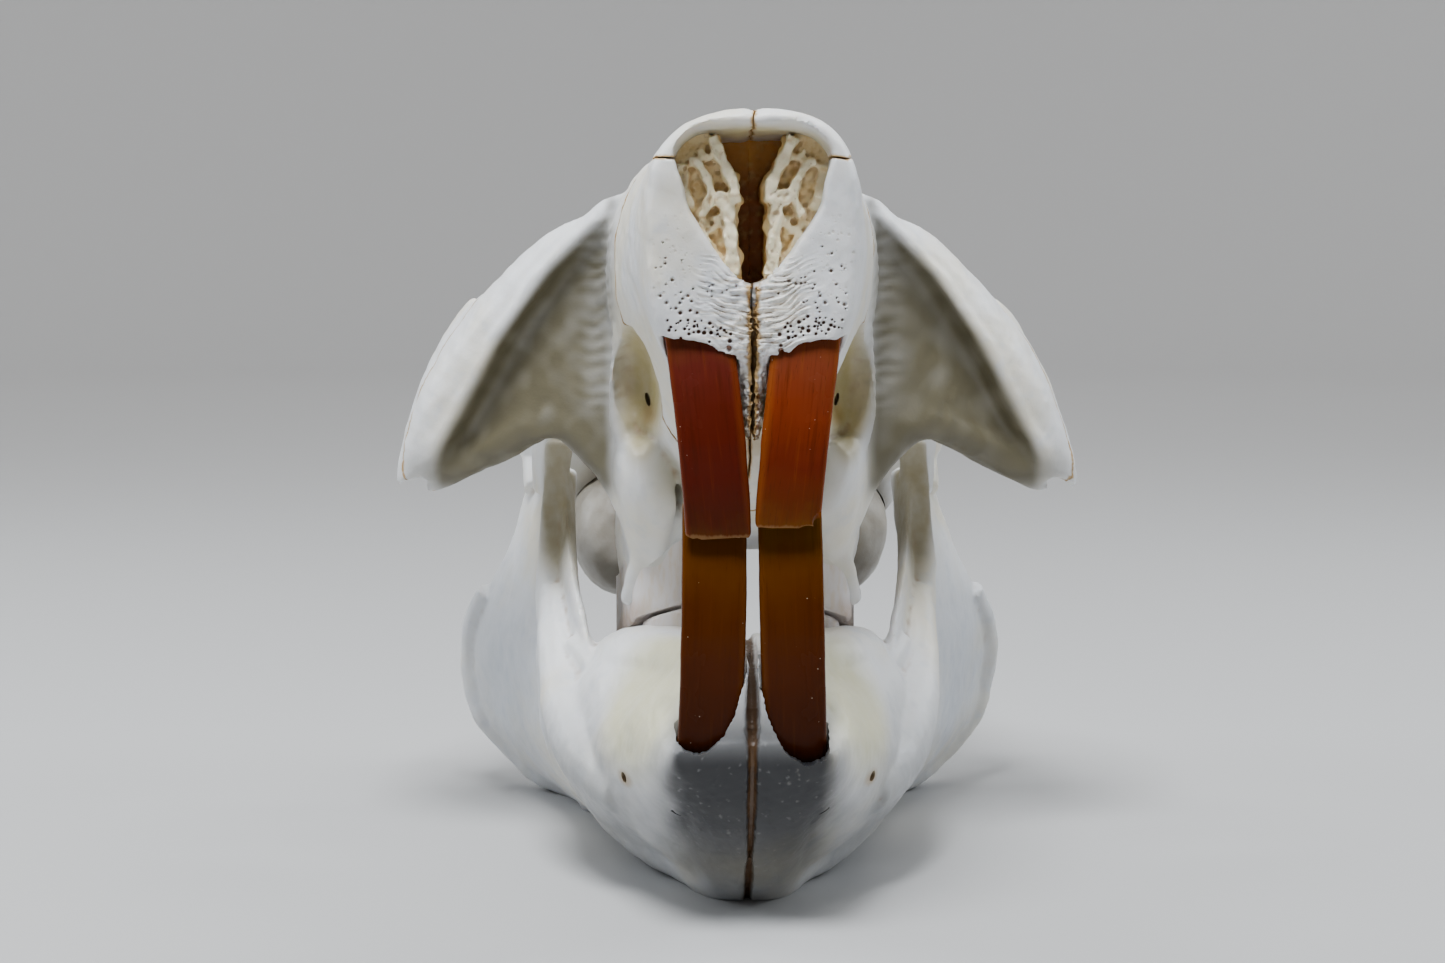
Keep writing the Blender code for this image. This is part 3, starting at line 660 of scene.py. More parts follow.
    def split(self, seeds: dict[str, Row]) -> dict[str, "Body"]:
        """Part the mesh into its connected bodies and name them; this body is used up.

        Args:
            seeds: a place near the surface of each wanted body.

        Returns:
            The named bodies.
        """
        triangles, points = self.triangles(), self.points()
        label = np.arange(len(points))
        a, b = triangles[:, [0, 1, 2]].ravel(), triangles[:, [1, 2, 0]].ravel()
        while True:
            low = np.minimum(label[a], label[b])
            fresh = label.copy()
            np.minimum.at(fresh, label[a], low)
            np.minimum.at(fresh, label[b], low)
            fresh = fresh[fresh]
            if np.array_equal(fresh, label):
                break
            label = fresh
        names, sizes = np.unique(label, return_counts=True)
        large = np.isin(label, names[sizes > SMALLEST_BONE])
        made = {}
        for name, seed in seeds.items():
            far = np.linalg.norm(points - np.array(seed), axis=1)
            far[~large] = np.inf
            chosen = label == label[int(np.argmin(far))]
            order = np.cumsum(chosen) - 1
            kept = triangles[chosen[triangles[:, 0]]]
            made[name] = Body.from_triangles(name, (points[chosen] + TO_ROW) * MM, order[kept])
        self.discard()
        return made

    def discard(self) -> None:
        """Remove the object and its mesh."""
        mesh = self.obj.data
        bpy.data.objects.remove(self.obj)
        bpy.data.meshes.remove(mesh)

    def finish(self, name: str, material: bpy.types.Material, slot: str, node: str,
               crease: float = 38.0) -> None:
        """Name, paint and hand over the piece.

        Args:
            name: name of the piece.
            material: its finish.
            slot: the record's material slot; not used.
            node: the CAD node that it stands for.
            crease: edges sharper than this many degrees stay sharp.
        """
        obj = self.obj
        obj.name, obj.data.name = name, name
        obj.data.materials.clear()
        obj.data.materials.append(material)
        obj.data.shade_smooth()
        obj.data.set_sharp_from_angle(angle=math.radians(crease))
        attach(obj, BODY)
        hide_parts(node)
        LOG.info("%s: %d faces", name, len(obj.data.polygons))


# Shader maths


class Sock:
    """A shader value that takes part in Python expressions."""

    def __init__(self, paint: "Paint", link: bpy.types.NodeSocket) -> None:
        """Wrap an output socket of a paint's node tree."""
        self.paint, self.link = paint, link

    def math(self, operation: str, *others: "Sock | float") -> "Sock":
        """Math node with this value first.

        Args:
            operation: the node's operation.
            *others: its other operands.

        Returns:
            The result.
        """
        return self.paint.math(operation, self, *others)

    def __add__(self, other: "Sock | float") -> "Sock":
        """Sum."""
        return self.math("ADD", other)

    __radd__ = __add__

    def __sub__(self, other: "Sock | float") -> "Sock":
        """Difference."""
        return self.math("SUBTRACT", other)

    def __rsub__(self, other: float) -> "Sock":
        """Difference from a number."""
        return self.paint.math("SUBTRACT", other, self)

    def __mul__(self, other: "Sock | float") -> "Sock":
        """Product."""
        return self.math("MULTIPLY", other)

    __rmul__ = __mul__

    def __truediv__(self, other: "Sock | float") -> "Sock":
        """Quotient."""
        return self.math("DIVIDE", other)

    def __pow__(self, other: "Sock | float") -> "Sock":
        """Power."""
        return self.math("POWER", other)

    def __abs__(self) -> "Sock":
        """Size without sign."""
        return self.math("ABSOLUTE")


class Paint:
    """Node tree of one material."""

    def __init__(self, name: str) -> None:
        """Start an empty material with a Principled shader.

        Args:
            name: name of the material.
        """
        self.material = bpy.data.materials.new(name)
        self.material.use_nodes = True
        self.tree = self.material.node_tree
        self.tree.nodes.clear()
        self.shader = self.node("ShaderNodeBsdfPrincipled")
        self.node("ShaderNodeOutputMaterial", inputs={"Surface": self.shader.outputs["BSDF"]})
        place = self.node("ShaderNodeTexCoord").outputs["Object"]
        self.place = self.vector("MULTIPLY_ADD", Sock(self, place), (1 / MM,) * 3, (0.0, -FRONT_Y, 0.0))
        split = self.node("ShaderNodeSeparateXYZ", inputs={0: self.place})
        self.x, self.y, self.z = (Sock(self, split.outputs[i]) for i in range(3))

    def node(self, kind: str, settings: dict[str, object] | None = None,
             inputs: dict[str | int, object] | None = None) -> bpy.types.Node:
        """Add a node.

        Args:
            kind: its type.
            settings: properties, set before the sockets; "stops" fills a colour ramp.
            inputs: values or links of its sockets.

        Returns:
            The node.
        """
        made = self.tree.nodes.new(kind)
        for name, value in (settings or {}).items():
            if name == "stops":
                ramp = made.color_ramp
                while len(ramp.elements) < len(value):
                    ramp.elements.new(0.5)
                for element, (position, colour) in zip(ramp.elements, value):
                    element.position, element.color = position, (*colour, 1.0)
            else:
                setattr(made, name, value)
        for name, value in (inputs or {}).items():
            self.fill(made.inputs[name], value)
        return made

    def fill(self, socket: bpy.types.NodeSocket, value: object) -> None:
        """Give one input socket its value or its link.

        Args:
            socket: the socket.
            value: a number, a vector, a colour or a link.
        """
        if isinstance(value, Sock):
            value = value.link
        if isinstance(value, bpy.types.NodeSocket):
            self.tree.links.new(value, socket)
        else:
            socket.default_value = (*value, 1.0) if socket.type == "RGBA" else value

    def math(self, operation: str, *operands: Sock | float) -> Sock:
        """Math node.

        Args:
            operation: its operation.
            *operands: values or links.

        Returns:
            The result.
        """
        made = self.node("ShaderNodeMath", {"operation": operation}, dict(enumerate(operands)))
        return Sock(self, made.outputs[0])

    def vector(self, operation: str, *operands: Sock | Row) -> Sock:
        """Vector Math node.

        Args:
            operation: its operation.
            *operands: vectors or links.

        Returns:
            The result, a number for LENGTH.
        """
        made = self.node("ShaderNodeVectorMath", {"operation": operation}, dict(enumerate(operands)))
        return Sock(self, made.outputs["Value" if operation == "LENGTH" else "Vector"])

    def mix(self, amount: Sock | float, first: Sock | Colour, second: Sock | Colour) -> Sock:
        """Mix of two colours.

        Args:
            amount: 0 for the first, 1 for the second.
            first: a colour or link.
            second: a colour or link.

        Returns:
            The mixed colour.
        """
        made = self.node("ShaderNodeMix", {"data_type": "RGBA"}, {"Factor": amount, 6: first, 7: second})
        return Sock(self, made.outputs[2])

    def grade(self, value: Sock, start: float, end: float) -> Sock:
        """Smooth step of a value, from 0 at start to 1 at end.

        Args:
            value: the value.
            start: where the result is 0.
            end: where the result is 1.

        Returns:
            The graded value.
        """
        if start > end:
            return 1 - self.grade(value, end, start)
        made = self.node("ShaderNodeMapRange", {"interpolation_type": "SMOOTHSTEP"},
                         {"Value": value, "From Min": start, "From Max": end})
        return Sock(self, made.outputs["Result"])

    def noise(self, scale: float, detail: float = 3.0, stretch: Row = (1, 1, 1), shift: float = 0.0,
              place: Sock | None = None) -> Sock:
        """Noise over the surface.

        Args:
            scale: cells for each millimetre.
            detail: octaves.
            stretch: factor on each axis.
            shift: moves the pattern.
            place: other coordinates than the shaping frame's.

        Returns:
            A value from 0 to 1.
        """
        where = self.vector("MULTIPLY_ADD", place or self.place, tuple(stretch), (shift, shift * 0.7, -shift))
        made = self.node("ShaderNodeTexNoise", None, {"Vector": where, "Scale": scale, "Detail": detail})
        return Sock(self, made.outputs[0])

    def dots(self, scale: float, small: float, large: float) -> Sock:
        """Scattered round dots.

        Args:
            scale: cells for each millimetre.
            small: distance in cells where a dot is full.
            large: distance where it ends.

        Returns:
            1 inside a dot, 0 outside.
        """
        made = self.node("ShaderNodeTexVoronoi", None, {"Vector": self.place, "Scale": scale})
        return self.grade(Sock(self, made.outputs["Distance"]), large, small)

    def zone(self, centre: Row, reach: Row, soft: float = 0.5) -> Sock:
        """Mask of an ellipsoid.

        Args:
            centre: its middle; the mask is the same on both sides of x = 0.
            reach: its half sizes.
            soft: share of the size over which it fades.

        Returns:
            1 inside, 0 outside.
        """
        away = self.vector("SUBTRACT", self.join(abs(self.x), self.y, self.z), tuple(centre))
        scaled = self.vector("MULTIPLY", away, tuple(1 / r for r in reach))
        return self.grade(self.vector("LENGTH", scaled), 1.0, 1.0 - soft)

    def tone(self, name: str) -> Sock:
        """Number stored on the mesh, 0 where there is none."""
        return Sock(self, self.node("ShaderNodeAttribute", {"attribute_name": name}).outputs["Fac"])

    def edge(self) -> Sock:
        """How far the surface stands out, 0.5 where it is flat and less in a hollow."""
        return Sock(self, self.node("ShaderNodeNewGeometry").outputs["Pointiness"])

    def join(self, x: Sock, y: Sock, z: Sock) -> Sock:
        """Vector of three numbers."""
        return Sock(self, self.node("ShaderNodeCombineXYZ", None, {0: x, 1: y, 2: z}).outputs[0])

    def bump(self, height: Sock, distance: float, strength: float) -> None:
        """Feed the shader's normal from a height in units of the given distance.

        Args:
            height: the height.
            distance: millimetres for a height of 1.
            strength: strength of the bump.
        """
        made = self.node("ShaderNodeBump", None,
                         {"Height": height, "Distance": distance * MM, "Strength": strength})
        self.tree.links.new(made.outputs["Normal"], self.shader.inputs["Normal"])

    def feed(self, **sockets: object) -> bpy.types.Material:
        """Set the shader's sockets.

        Args:
            **sockets: values or links by socket name, with _ for a space.

        Returns:
            The material.
        """
        for name, value in sockets.items():
            self.fill(self.shader.inputs[name.replace("_", " ")], value)
        return self.material


@dataclass(frozen=True)
class Zone:
    """Part of a bone with a different tint, which is a real stain in some zones and painted shade in others."""

    centre: Row
    reach: Row
    colour: Colour
    strength: float = 1.0
    soft: float = 0.6


@dataclass(frozen=True)
class BoneFinish:
    """Dry bleached bone, with stains, sutures and painted shade."""

    name: str
    white: Colour = (0.77, 0.775, 0.78)
    cream: Colour = (0.76, 0.72, 0.61)
    grey: Colour = (0.61, 0.64, 0.68)
    # Brown for hollows and creases: part stain, part painted shade.
    stain: Colour = (0.30, 0.17, 0.07)
    # Colour of the painted shade inside the pits.
    hollow: Colour = (0.085, 0.026, 0.008)
    seam: Colour = (0.46, 0.29, 0.11)
    # Colour of painted shade; this default darkens the chin.
    shade: Colour = (0.013, 0.0135, 0.016)
    roughness: float = 0.44
    zones: tuple[Zone, ...] = ()
    pores: tuple[Zone, ...] = ()
    wrinkles: Zone | None = None

    def material(self) -> bpy.types.Material:
        """Build the node material."""
        paint = Paint(self.name)
        broad = paint.noise(0.055, 3.0)
        middle = paint.noise(0.35, 4.0, shift=7.0)
        fine = paint.noise(2.6, 3.0, shift=3.0)
        colour = paint.mix(paint.grade(broad, 0.42, 0.66), self.white, self.cream)
        colour = paint.mix(paint.grade(middle, 0.5, 0.75) * 0.5, colour, self.grey)
        for tinted in self.zones:
            mask = paint.zone(tinted.centre, tinted.reach, tinted.soft) * tinted.strength
            colour = paint.mix(mask * (0.75 + 0.5 * middle), colour, tinted.colour)
        height = fine * 0.35 + middle * 0.6
        # The pores: dark dots painted as shade inside tiny holes, which the bump sinks.
        for porous in self.pores:
            patch = paint.zone(porous.centre, porous.reach, porous.soft) * porous.strength
            spots = paint.dots(1.05, 0.12, 0.3) * paint.grade(paint.noise(0.5, 2.0, shift=11.0), 0.46, 0.58)
            specks = paint.dots(2.2, 0.14, 0.34) * paint.grade(paint.noise(0.8, 2.0, shift=5.0), 0.5, 0.6)
            holes = patch * (spots + specks * 0.7)
            colour = paint.mix(holes * 0.8, colour, porous.colour)
            height = height - holes * 1.6
        if self.wrinkles:
            lined = self.wrinkles
            lines = paint.noise(1.5, 4.0, stretch=(0.22, 0.5, 1.9), shift=2.0)
            mask = paint.zone(lined.centre, lined.reach, lined.soft) * lined.strength
            height = height + mask * lines * 2.4
            colour = paint.mix(mask * paint.grade(lines, 0.52, 0.36) * 0.5, colour, lined.colour)
        # Brown in hollows and creases, read from the pointiness: part stain, part painted shade.
        colour = paint.mix(paint.grade(paint.edge(), 0.485, 0.44) * 0.6, colour, self.stain)
        # Painted shade from the shade tone: on the face of the cheek plate, and on the chin over its grey.
        colour = paint.mix(paint.tone("shade"), colour, self.shade)
        crack = paint.grade(paint.tone("seam") + 0.3 * (fine - 0.5), 0.1, 0.9)
        colour = paint.mix(crack * 0.97, colour, self.seam)
        # Painted shade inside the pits of the snout, stored on the mesh.
        colour = paint.mix(paint.grade(paint.tone("stain"), 0.1, 0.6) * 0.95, colour, self.hollow)
        paint.bump(height, 0.12, 0.7)
        rough = self.roughness + 0.2 * (middle - 0.5) + 0.14 * (fine - 0.5)
        return paint.feed(Base_Color=colour, Roughness=rough, Subsurface_Weight=0.12,
                          Subsurface_Radius=(1.0, 0.7, 0.45), Subsurface_Scale=0.0012)


@dataclass(frozen=True)
class EnamelFinish:
    """Coloured enamel in front and dentine behind, graded along a curved incisor."""

    name: str
    centre: tuple[float, float]
    radius: float
    depth: float
    angles: tuple[float, float]
    stops: tuple[tuple[float, Colour], ...]
    middle_x: tuple[float, float]
    edge: Colour
    dark: Colour = (0.03, 0.006, 0.001)
    dentine: Colour = (0.62, 0.47, 0.27)
    roughness: float = 0.24

    def material(self) -> bpy.types.Material:
        """Build the node material."""
        paint = Paint(self.name)
        yc, zc = self.centre
        forward, up = yc - paint.y, paint.z - zc
        reach = (forward * forward + up * up) ** 0.5
        angle = up.math("ARCTAN2", forward) * (180 / math.pi)
        along = (angle - self.angles[0]) / (self.angles[1] - self.angles[0])
        across = abs(paint.x) - (self.middle_x[0] + (self.middle_x[1] - self.middle_x[0]) * along)
        out = (reach - (self.radius - self.depth / 2)) / (self.depth / 2)
        strip = paint.join(across, along * 30.0, out)
        streaks = paint.noise(2.4, 4.0, stretch=(1.0, 0.05, 0.2), place=strip)
        clouds = paint.noise(0.22, 3.0, stretch=(1.0, 0.6, 0.4), shift=4.0, place=strip)
        bands = paint.noise(0.6, 3.0, stretch=(0.12, 1.0, 0.1), shift=9.0, place=strip)
        shifted = along + (clouds - 0.5) * 0.24 + (streaks - 0.5) * 0.1 + (bands - 0.5) * 0.08
        ramp = paint.node("ShaderNodeValToRGB", {"stops": self.stops}, {0: shifted})
        colour = paint.mix(paint.grade(streaks, 0.56, 0.76) * 0.2, Sock(paint, ramp.outputs[0]), self.edge)
        colour = paint.mix(paint.grade(streaks, 0.46, 0.3) * 0.25, colour, self.dark)
        side = paint.grade(abs(across), 3.2, 4.1)
        colour = paint.mix(side * 0.5, colour, self.edge)
        lip = paint.grade(along + 0.02 * (streaks - 0.5), 0.018, 0.006)
        colour = paint.mix(lip * 0.4, colour, (0.40, 0.22, 0.09))
        cracks = paint.noise(1.8, 2.0, stretch=(1.0, 0.03, 0.1), shift=17.0, place=strip)
        colour = paint.mix(paint.grade(abs(cracks - 0.5), 0.012, 0.0) * 0.35, colour, (0.03, 0.008, 0.002))
        specks = paint.dots(0.9, 0.03, 0.07) * paint.grade(clouds, 0.5, 0.6)
        colour = paint.mix(specks * 0.8, colour, (0.8, 0.66, 0.5))
        behind = paint.grade(out, 0.35, 0.05)
        colour = paint.mix(behind, colour, self.dentine)
        paint.bump(streaks * 0.5 + bands * 0.2 + cracks * 0.4, 0.04, 0.5)
        rough = self.roughness + 0.16 * (clouds - 0.4) + behind * 0.22 + specks * 0.3
        return paint.feed(Base_Color=colour, Roughness=rough, Specular_IOR_Level=0.07,
                          Subsurface_Weight=0.06, Subsurface_Radius=(1.0, 0.35, 0.1), Subsurface_Scale=0.0006)


# The bones


@dataclass
class Incisor:
    """One curved incisor, swept along the arc of its front face, with a worn cutting edge.

    The centre, as y and z, and the radius give the arc, and root and tip are angles on it, in degrees.
    Of x and width, the first belongs to the root and the second to the tip.
    """

    level: Level
    side: Side
    centre: tuple[float, float]
    radius: float
    root: float
    tip: float
    x: tuple[float, float]
    width: tuple[float, float]
    depth: float
    facet: float
    bend: float
    square: float = 9.0
    taper: float = 0.30
    chips: tuple[tuple[Row, Row], ...] = ()

    @staticmethod
    def make(level: Level, side: Side) -> "Incisor":
        """The incisor of a jaw and side, with the sizes of this skull.

        Args:
            level: upper or lower.
            side: left or right.

        Returns:
            The incisor.
        """
        right = side is Side.RIGHT
        if level is Level.LOWER:
            return Incisor(level, side, centre=(39.4, 38.0), radius=38.0, root=-38.0, tip=26.4, x=(6.0, 4.7),
                           width=(8.4, 8.4), depth=9.0, facet=47.0, bend=2.0,
                           chips=(((8.2, 4.4, 54.2), (1.3, 1.6, 1.5)),) if right else ())
        chips = (((8.6, 1.0, 50.2), (0.9, 1.6, 1.2)), ((3.6, 1.0, 49.5), (2.4, 1.6, 0.35)))
        if right:
            chips = (((6.9, 0.9, 51.4), (1.5, 1.6, 1.0)), ((4.4, 0.6, 50.6), (2.0, 1.4, 0.75)),
                     ((8.4, 1.2, 52.6), (1.1, 1.6, 1.3)))
        return Incisor(level, side, centre=(38.0, 62.0), radius=38.0, root=29.0, tip=-15.6 if right else -17.5,
                       x=(7.3, 4.3), width=(9.0, 8.5), depth=9.4, facet=53.0, bend=1.35, chips=chips)

    def sweep(self, steps: int, sides: int, grow: float = 0.0, longer: float = 0.0) -> Shell:
        """The tooth before it is worn.

        Args:
            steps: sections along the arc.
            sides: points round a section.
            grow: clearance all round, for the socket.
            longer: degrees added at the root, for the socket.

        Returns:
            The swept shell.
        """
        yc, zc = self.centre
        end = 1 if self.tip > self.root else -1
        rings = []
        for t in np.linspace(0.0, 1.0, steps + 1):
            start = self.root - end * longer
            middle = self.x[1] + (self.x[0] - self.x[1]) * (1 - t) ** self.bend
            half = (self.width[0] + (self.width[1] - self.width[0]) * t) / 2 + grow
            ring = []
            for k in range(sides):
                across, out = superellipse(2 * math.pi * (k + 0.5) / sides, self.square)
                narrow = 1 - self.taper * (1 - out) / 2
                crown = 0.35 * (across * across) * max(out, 0.0)
                reach = self.radius - self.depth / 2 + (self.depth / 2 + grow) * out - crown
                uneven = 0.35 * float(wander(np.array(across * 5.0), np.array(0.0), self.tip)) * t ** 12
                angle = math.radians(start + (self.tip - start) * t + uneven)
                ring.append((middle + half * across * narrow, yc - reach * math.cos(angle),
                             zc + reach * math.sin(angle)))
            rings.append(np.array(ring))
        return Shell.loft(rings).on(self.side)

    def wear(self) -> Shell:
        """Block whose sloping face grinds the back of the tip."""
        yc, zc = self.centre
        tip = math.radians(self.tip)
        edge = np.array([yc - (self.radius - 0.4) * math.cos(tip), zc + self.radius * math.sin(tip)])
        up = 1 if self.tip < self.root else -1
        slope = math.radians(self.facet)
        along = np.array([math.cos(slope), up * math.sin(slope)])
        away = np.array([math.sin(slope), -up * math.cos(slope)])
        before, behind = edge - along * 4, edge + along * 25
        corners = [before, behind, behind + away * 22, before + away * 22]
        return Shell.side_block(corners, -2.0, 14.0).on(self.side)

    def build(self) -> Body:
        """The worn and chipped tooth with its fine growth lines."""
        name = f"{self.level.value}_incisor_{self.side.word}_tooth"
        tooth = Body.from_shell(name, self.sweep(150, 84))
        tooth.carve(self.wear())
        for centre, radii in self.chips:
            tooth.carve(Shell.ball(centre, radii, (0, 0, 20), 20).on(self.side))

        def lines(points: np.ndarray) -> np.ndarray:
            """Fine lines along the tooth and faint bands across it."""
            angle = np.degrees(np.arctan2(points[:, 2] - self.centre[1], self.centre[0] - points[:, 1]))
            across = np.abs(points[:, 0])
            striae = np.sin(across * 7.3 + 1.5 * np.sin(angle * 0.11))
            striae = striae + 0.6 * np.sin(across * 15.1 + angle * 0.05)
            bands = np.sin(angle * 1.7 + np.sin(across))
            return 0.010 * striae + 0.006 * bands + 0.03 * swell(points, 9.0, 5)

        return tooth.push(lines)

    def finish(self) -> EnamelFinish:
        """Colours of this tooth from tip to root."""
        name = f"enamel_{self.level.value}_{self.side.word}"
        if self.level is Level.UPPER:
            if self.side is Side.LEFT:
                stops = ((0.0, (0.090, 0.022, 0.001)), (0.08, (0.072, 0.009, 0.0005)),
                         (0.22, (0.078, 0.006, 0.001)), (0.48, (0.086, 0.009, 0.003)),
                         (0.7, (0.090, 0.013, 0.008)), (0.84, (0.095, 0.024, 0.008)))
                edge = (0.19, 0.035, 0.004)
            else:
                stops = ((0.0, (0.150, 0.044, 0.002)), (0.10, (0.120, 0.020, 0.0008)),
                         (0.26, (0.120, 0.012, 0.001)), (0.48, (0.165, 0.022, 0.004)),
                         (0.7, (0.150, 0.030, 0.012)), (0.84, (0.12, 0.030, 0.008)))
                edge = (0.27, 0.066, 0.006)
        else:
            top = (0.120, 0.052, 0.001) if self.side is Side.RIGHT else (0.095, 0.028, 0.0005)
            stops = ((0.0, top), (0.16, (0.085, 0.023, 0.0003)), (0.34, (0.066, 0.014, 0.0002)),
                     (0.52, (0.060, 0.011, 0.0002)), (0.72, (0.046, 0.008, 0.0002)))
            edge = (0.13, 0.036, 0.002)
        return EnamelFinish(name, self.centre, self.radius, self.depth, (self.tip, self.root), stops,
                            (self.x[1], self.x[0]), edge)

    def dress(self) -> None:
        """Build, paint and hand over the tooth."""
        slot = UPPER_SLOT if self.level is Level.UPPER else LOWER_SLOT
        body = self.build()
        node = f"{self.level.value}_incisor_{self.side.word}"
        body.finish(body.obj.name, self.finish().material(), slot, node, 32.0)


@dataclass
class CheekTeeth:
    """Four fluted cheek teeth of one side of one jaw, along the slanting grinding level."""

    level: Level
    side: Side
    front: float = 41.5
    height: float = 36.0
    slope: float = 0.287
    space: float = 0.4
    bite: float = 0.26
    tilt: float = 0.28
    crown: float = 10.0

    def row(self) -> Table:
        """Half width, length and distance from the midline of each tooth."""
        if self.level is Level.UPPER:
            return ((4.1, 8.8, 11.7), (4.0, 7.8, 12.8), (3.9, 7.5, 13.6), (3.5, 7.0, 14.6))
        return ((3.9, 9.0, 10.2), (3.9, 7.9, 11.4), (3.8, 7.7, 12.8), (3.4, 7.2, 14.2))

    def tooth(self, half: float, length: float, x: float, y: float) -> Shell:
        """One column with vertical flutes.

        Args:
            half: half its width.
            length: its length along the row.
            x: its middle from the midline.
            y: its middle from the front.

        Returns:
            The column.
        """
        grind = self.height - (y - self.front) * self.slope
        up = 1 if self.level is Level.UPPER else -1
        rings = []
        for t in (0.0, 0.02, 0.06, 0.2, 0.5, 1.0):
            grow = 1.0 - 0.10 * (1 - min(t / 0.06, 1.0)) ** 2
            ring = []
            for k in range(SECTION_POINTS):
                across, along = superellipse(2 * math.pi * k / SECTION_POINTS, 3.0)
                if across * up > 0:
                    flute = sum(math.exp(-((along - place) / 0.13) ** 2) for place in (-0.45, 0.05, 0.52))
                else:
                    flute = 1.3 * math.exp(-((along + 0.12) / 0.16) ** 2)
                inward = 1 - 0.13 * flute * abs(across)
                px, py = half * across * grow * inward, along * length / 2 * grow
                z = grind + up * (self.bite / 2 + self.crown * t) - py * self.slope - px * self.tilt
                ring.append((x + px, y + py, z))
            rings.append(np.array(ring))
        return Shell.loft(rings)

    def dress(self) -> None:
        """Build, paint and hand over the row."""
        teeth, y = [], self.front
        for half, length, x in self.row():
            teeth.append(self.tooth(half, length - self.space, x, y + length / 2).on(self.side))
            y += length
        name = f"{self.level.value}_cheek_teeth_{self.side.word}"
        body = Body.from_shell(name, Shell.join(teeth))
        paint = Paint(name)
        grain = paint.noise(1.4, 4.0, stretch=(1, 1, 0.25))
        grind = self.height - (paint.y - self.front) * self.slope
        stained = paint.grade(abs(paint.z - grind), 2.6, 0.4)
        colour = paint.mix(paint.grade(grain, 0.4, 0.7), (0.84, 0.80, 0.80), (0.80, 0.72, 0.64))
        colour = paint.mix(stained * 0.4 * paint.grade(abs(paint.x), 12.0, 15.5), colour, (0.42, 0.22, 0.10))
        colour = paint.mix(paint.grade(paint.edge(), 0.49, 0.44) * 0.45, colour, (0.34, 0.20, 0.10))
        paint.bump(grain, 0.08, 0.5)
        material = paint.feed(Base_Color=colour, Roughness=0.3 + 0.15 * grain)
        node = ("maxilla_" if self.level is Level.UPPER else "mandible_") + self.side.word
        body.finish(name, material, BONE_SLOT, node, 30.0)


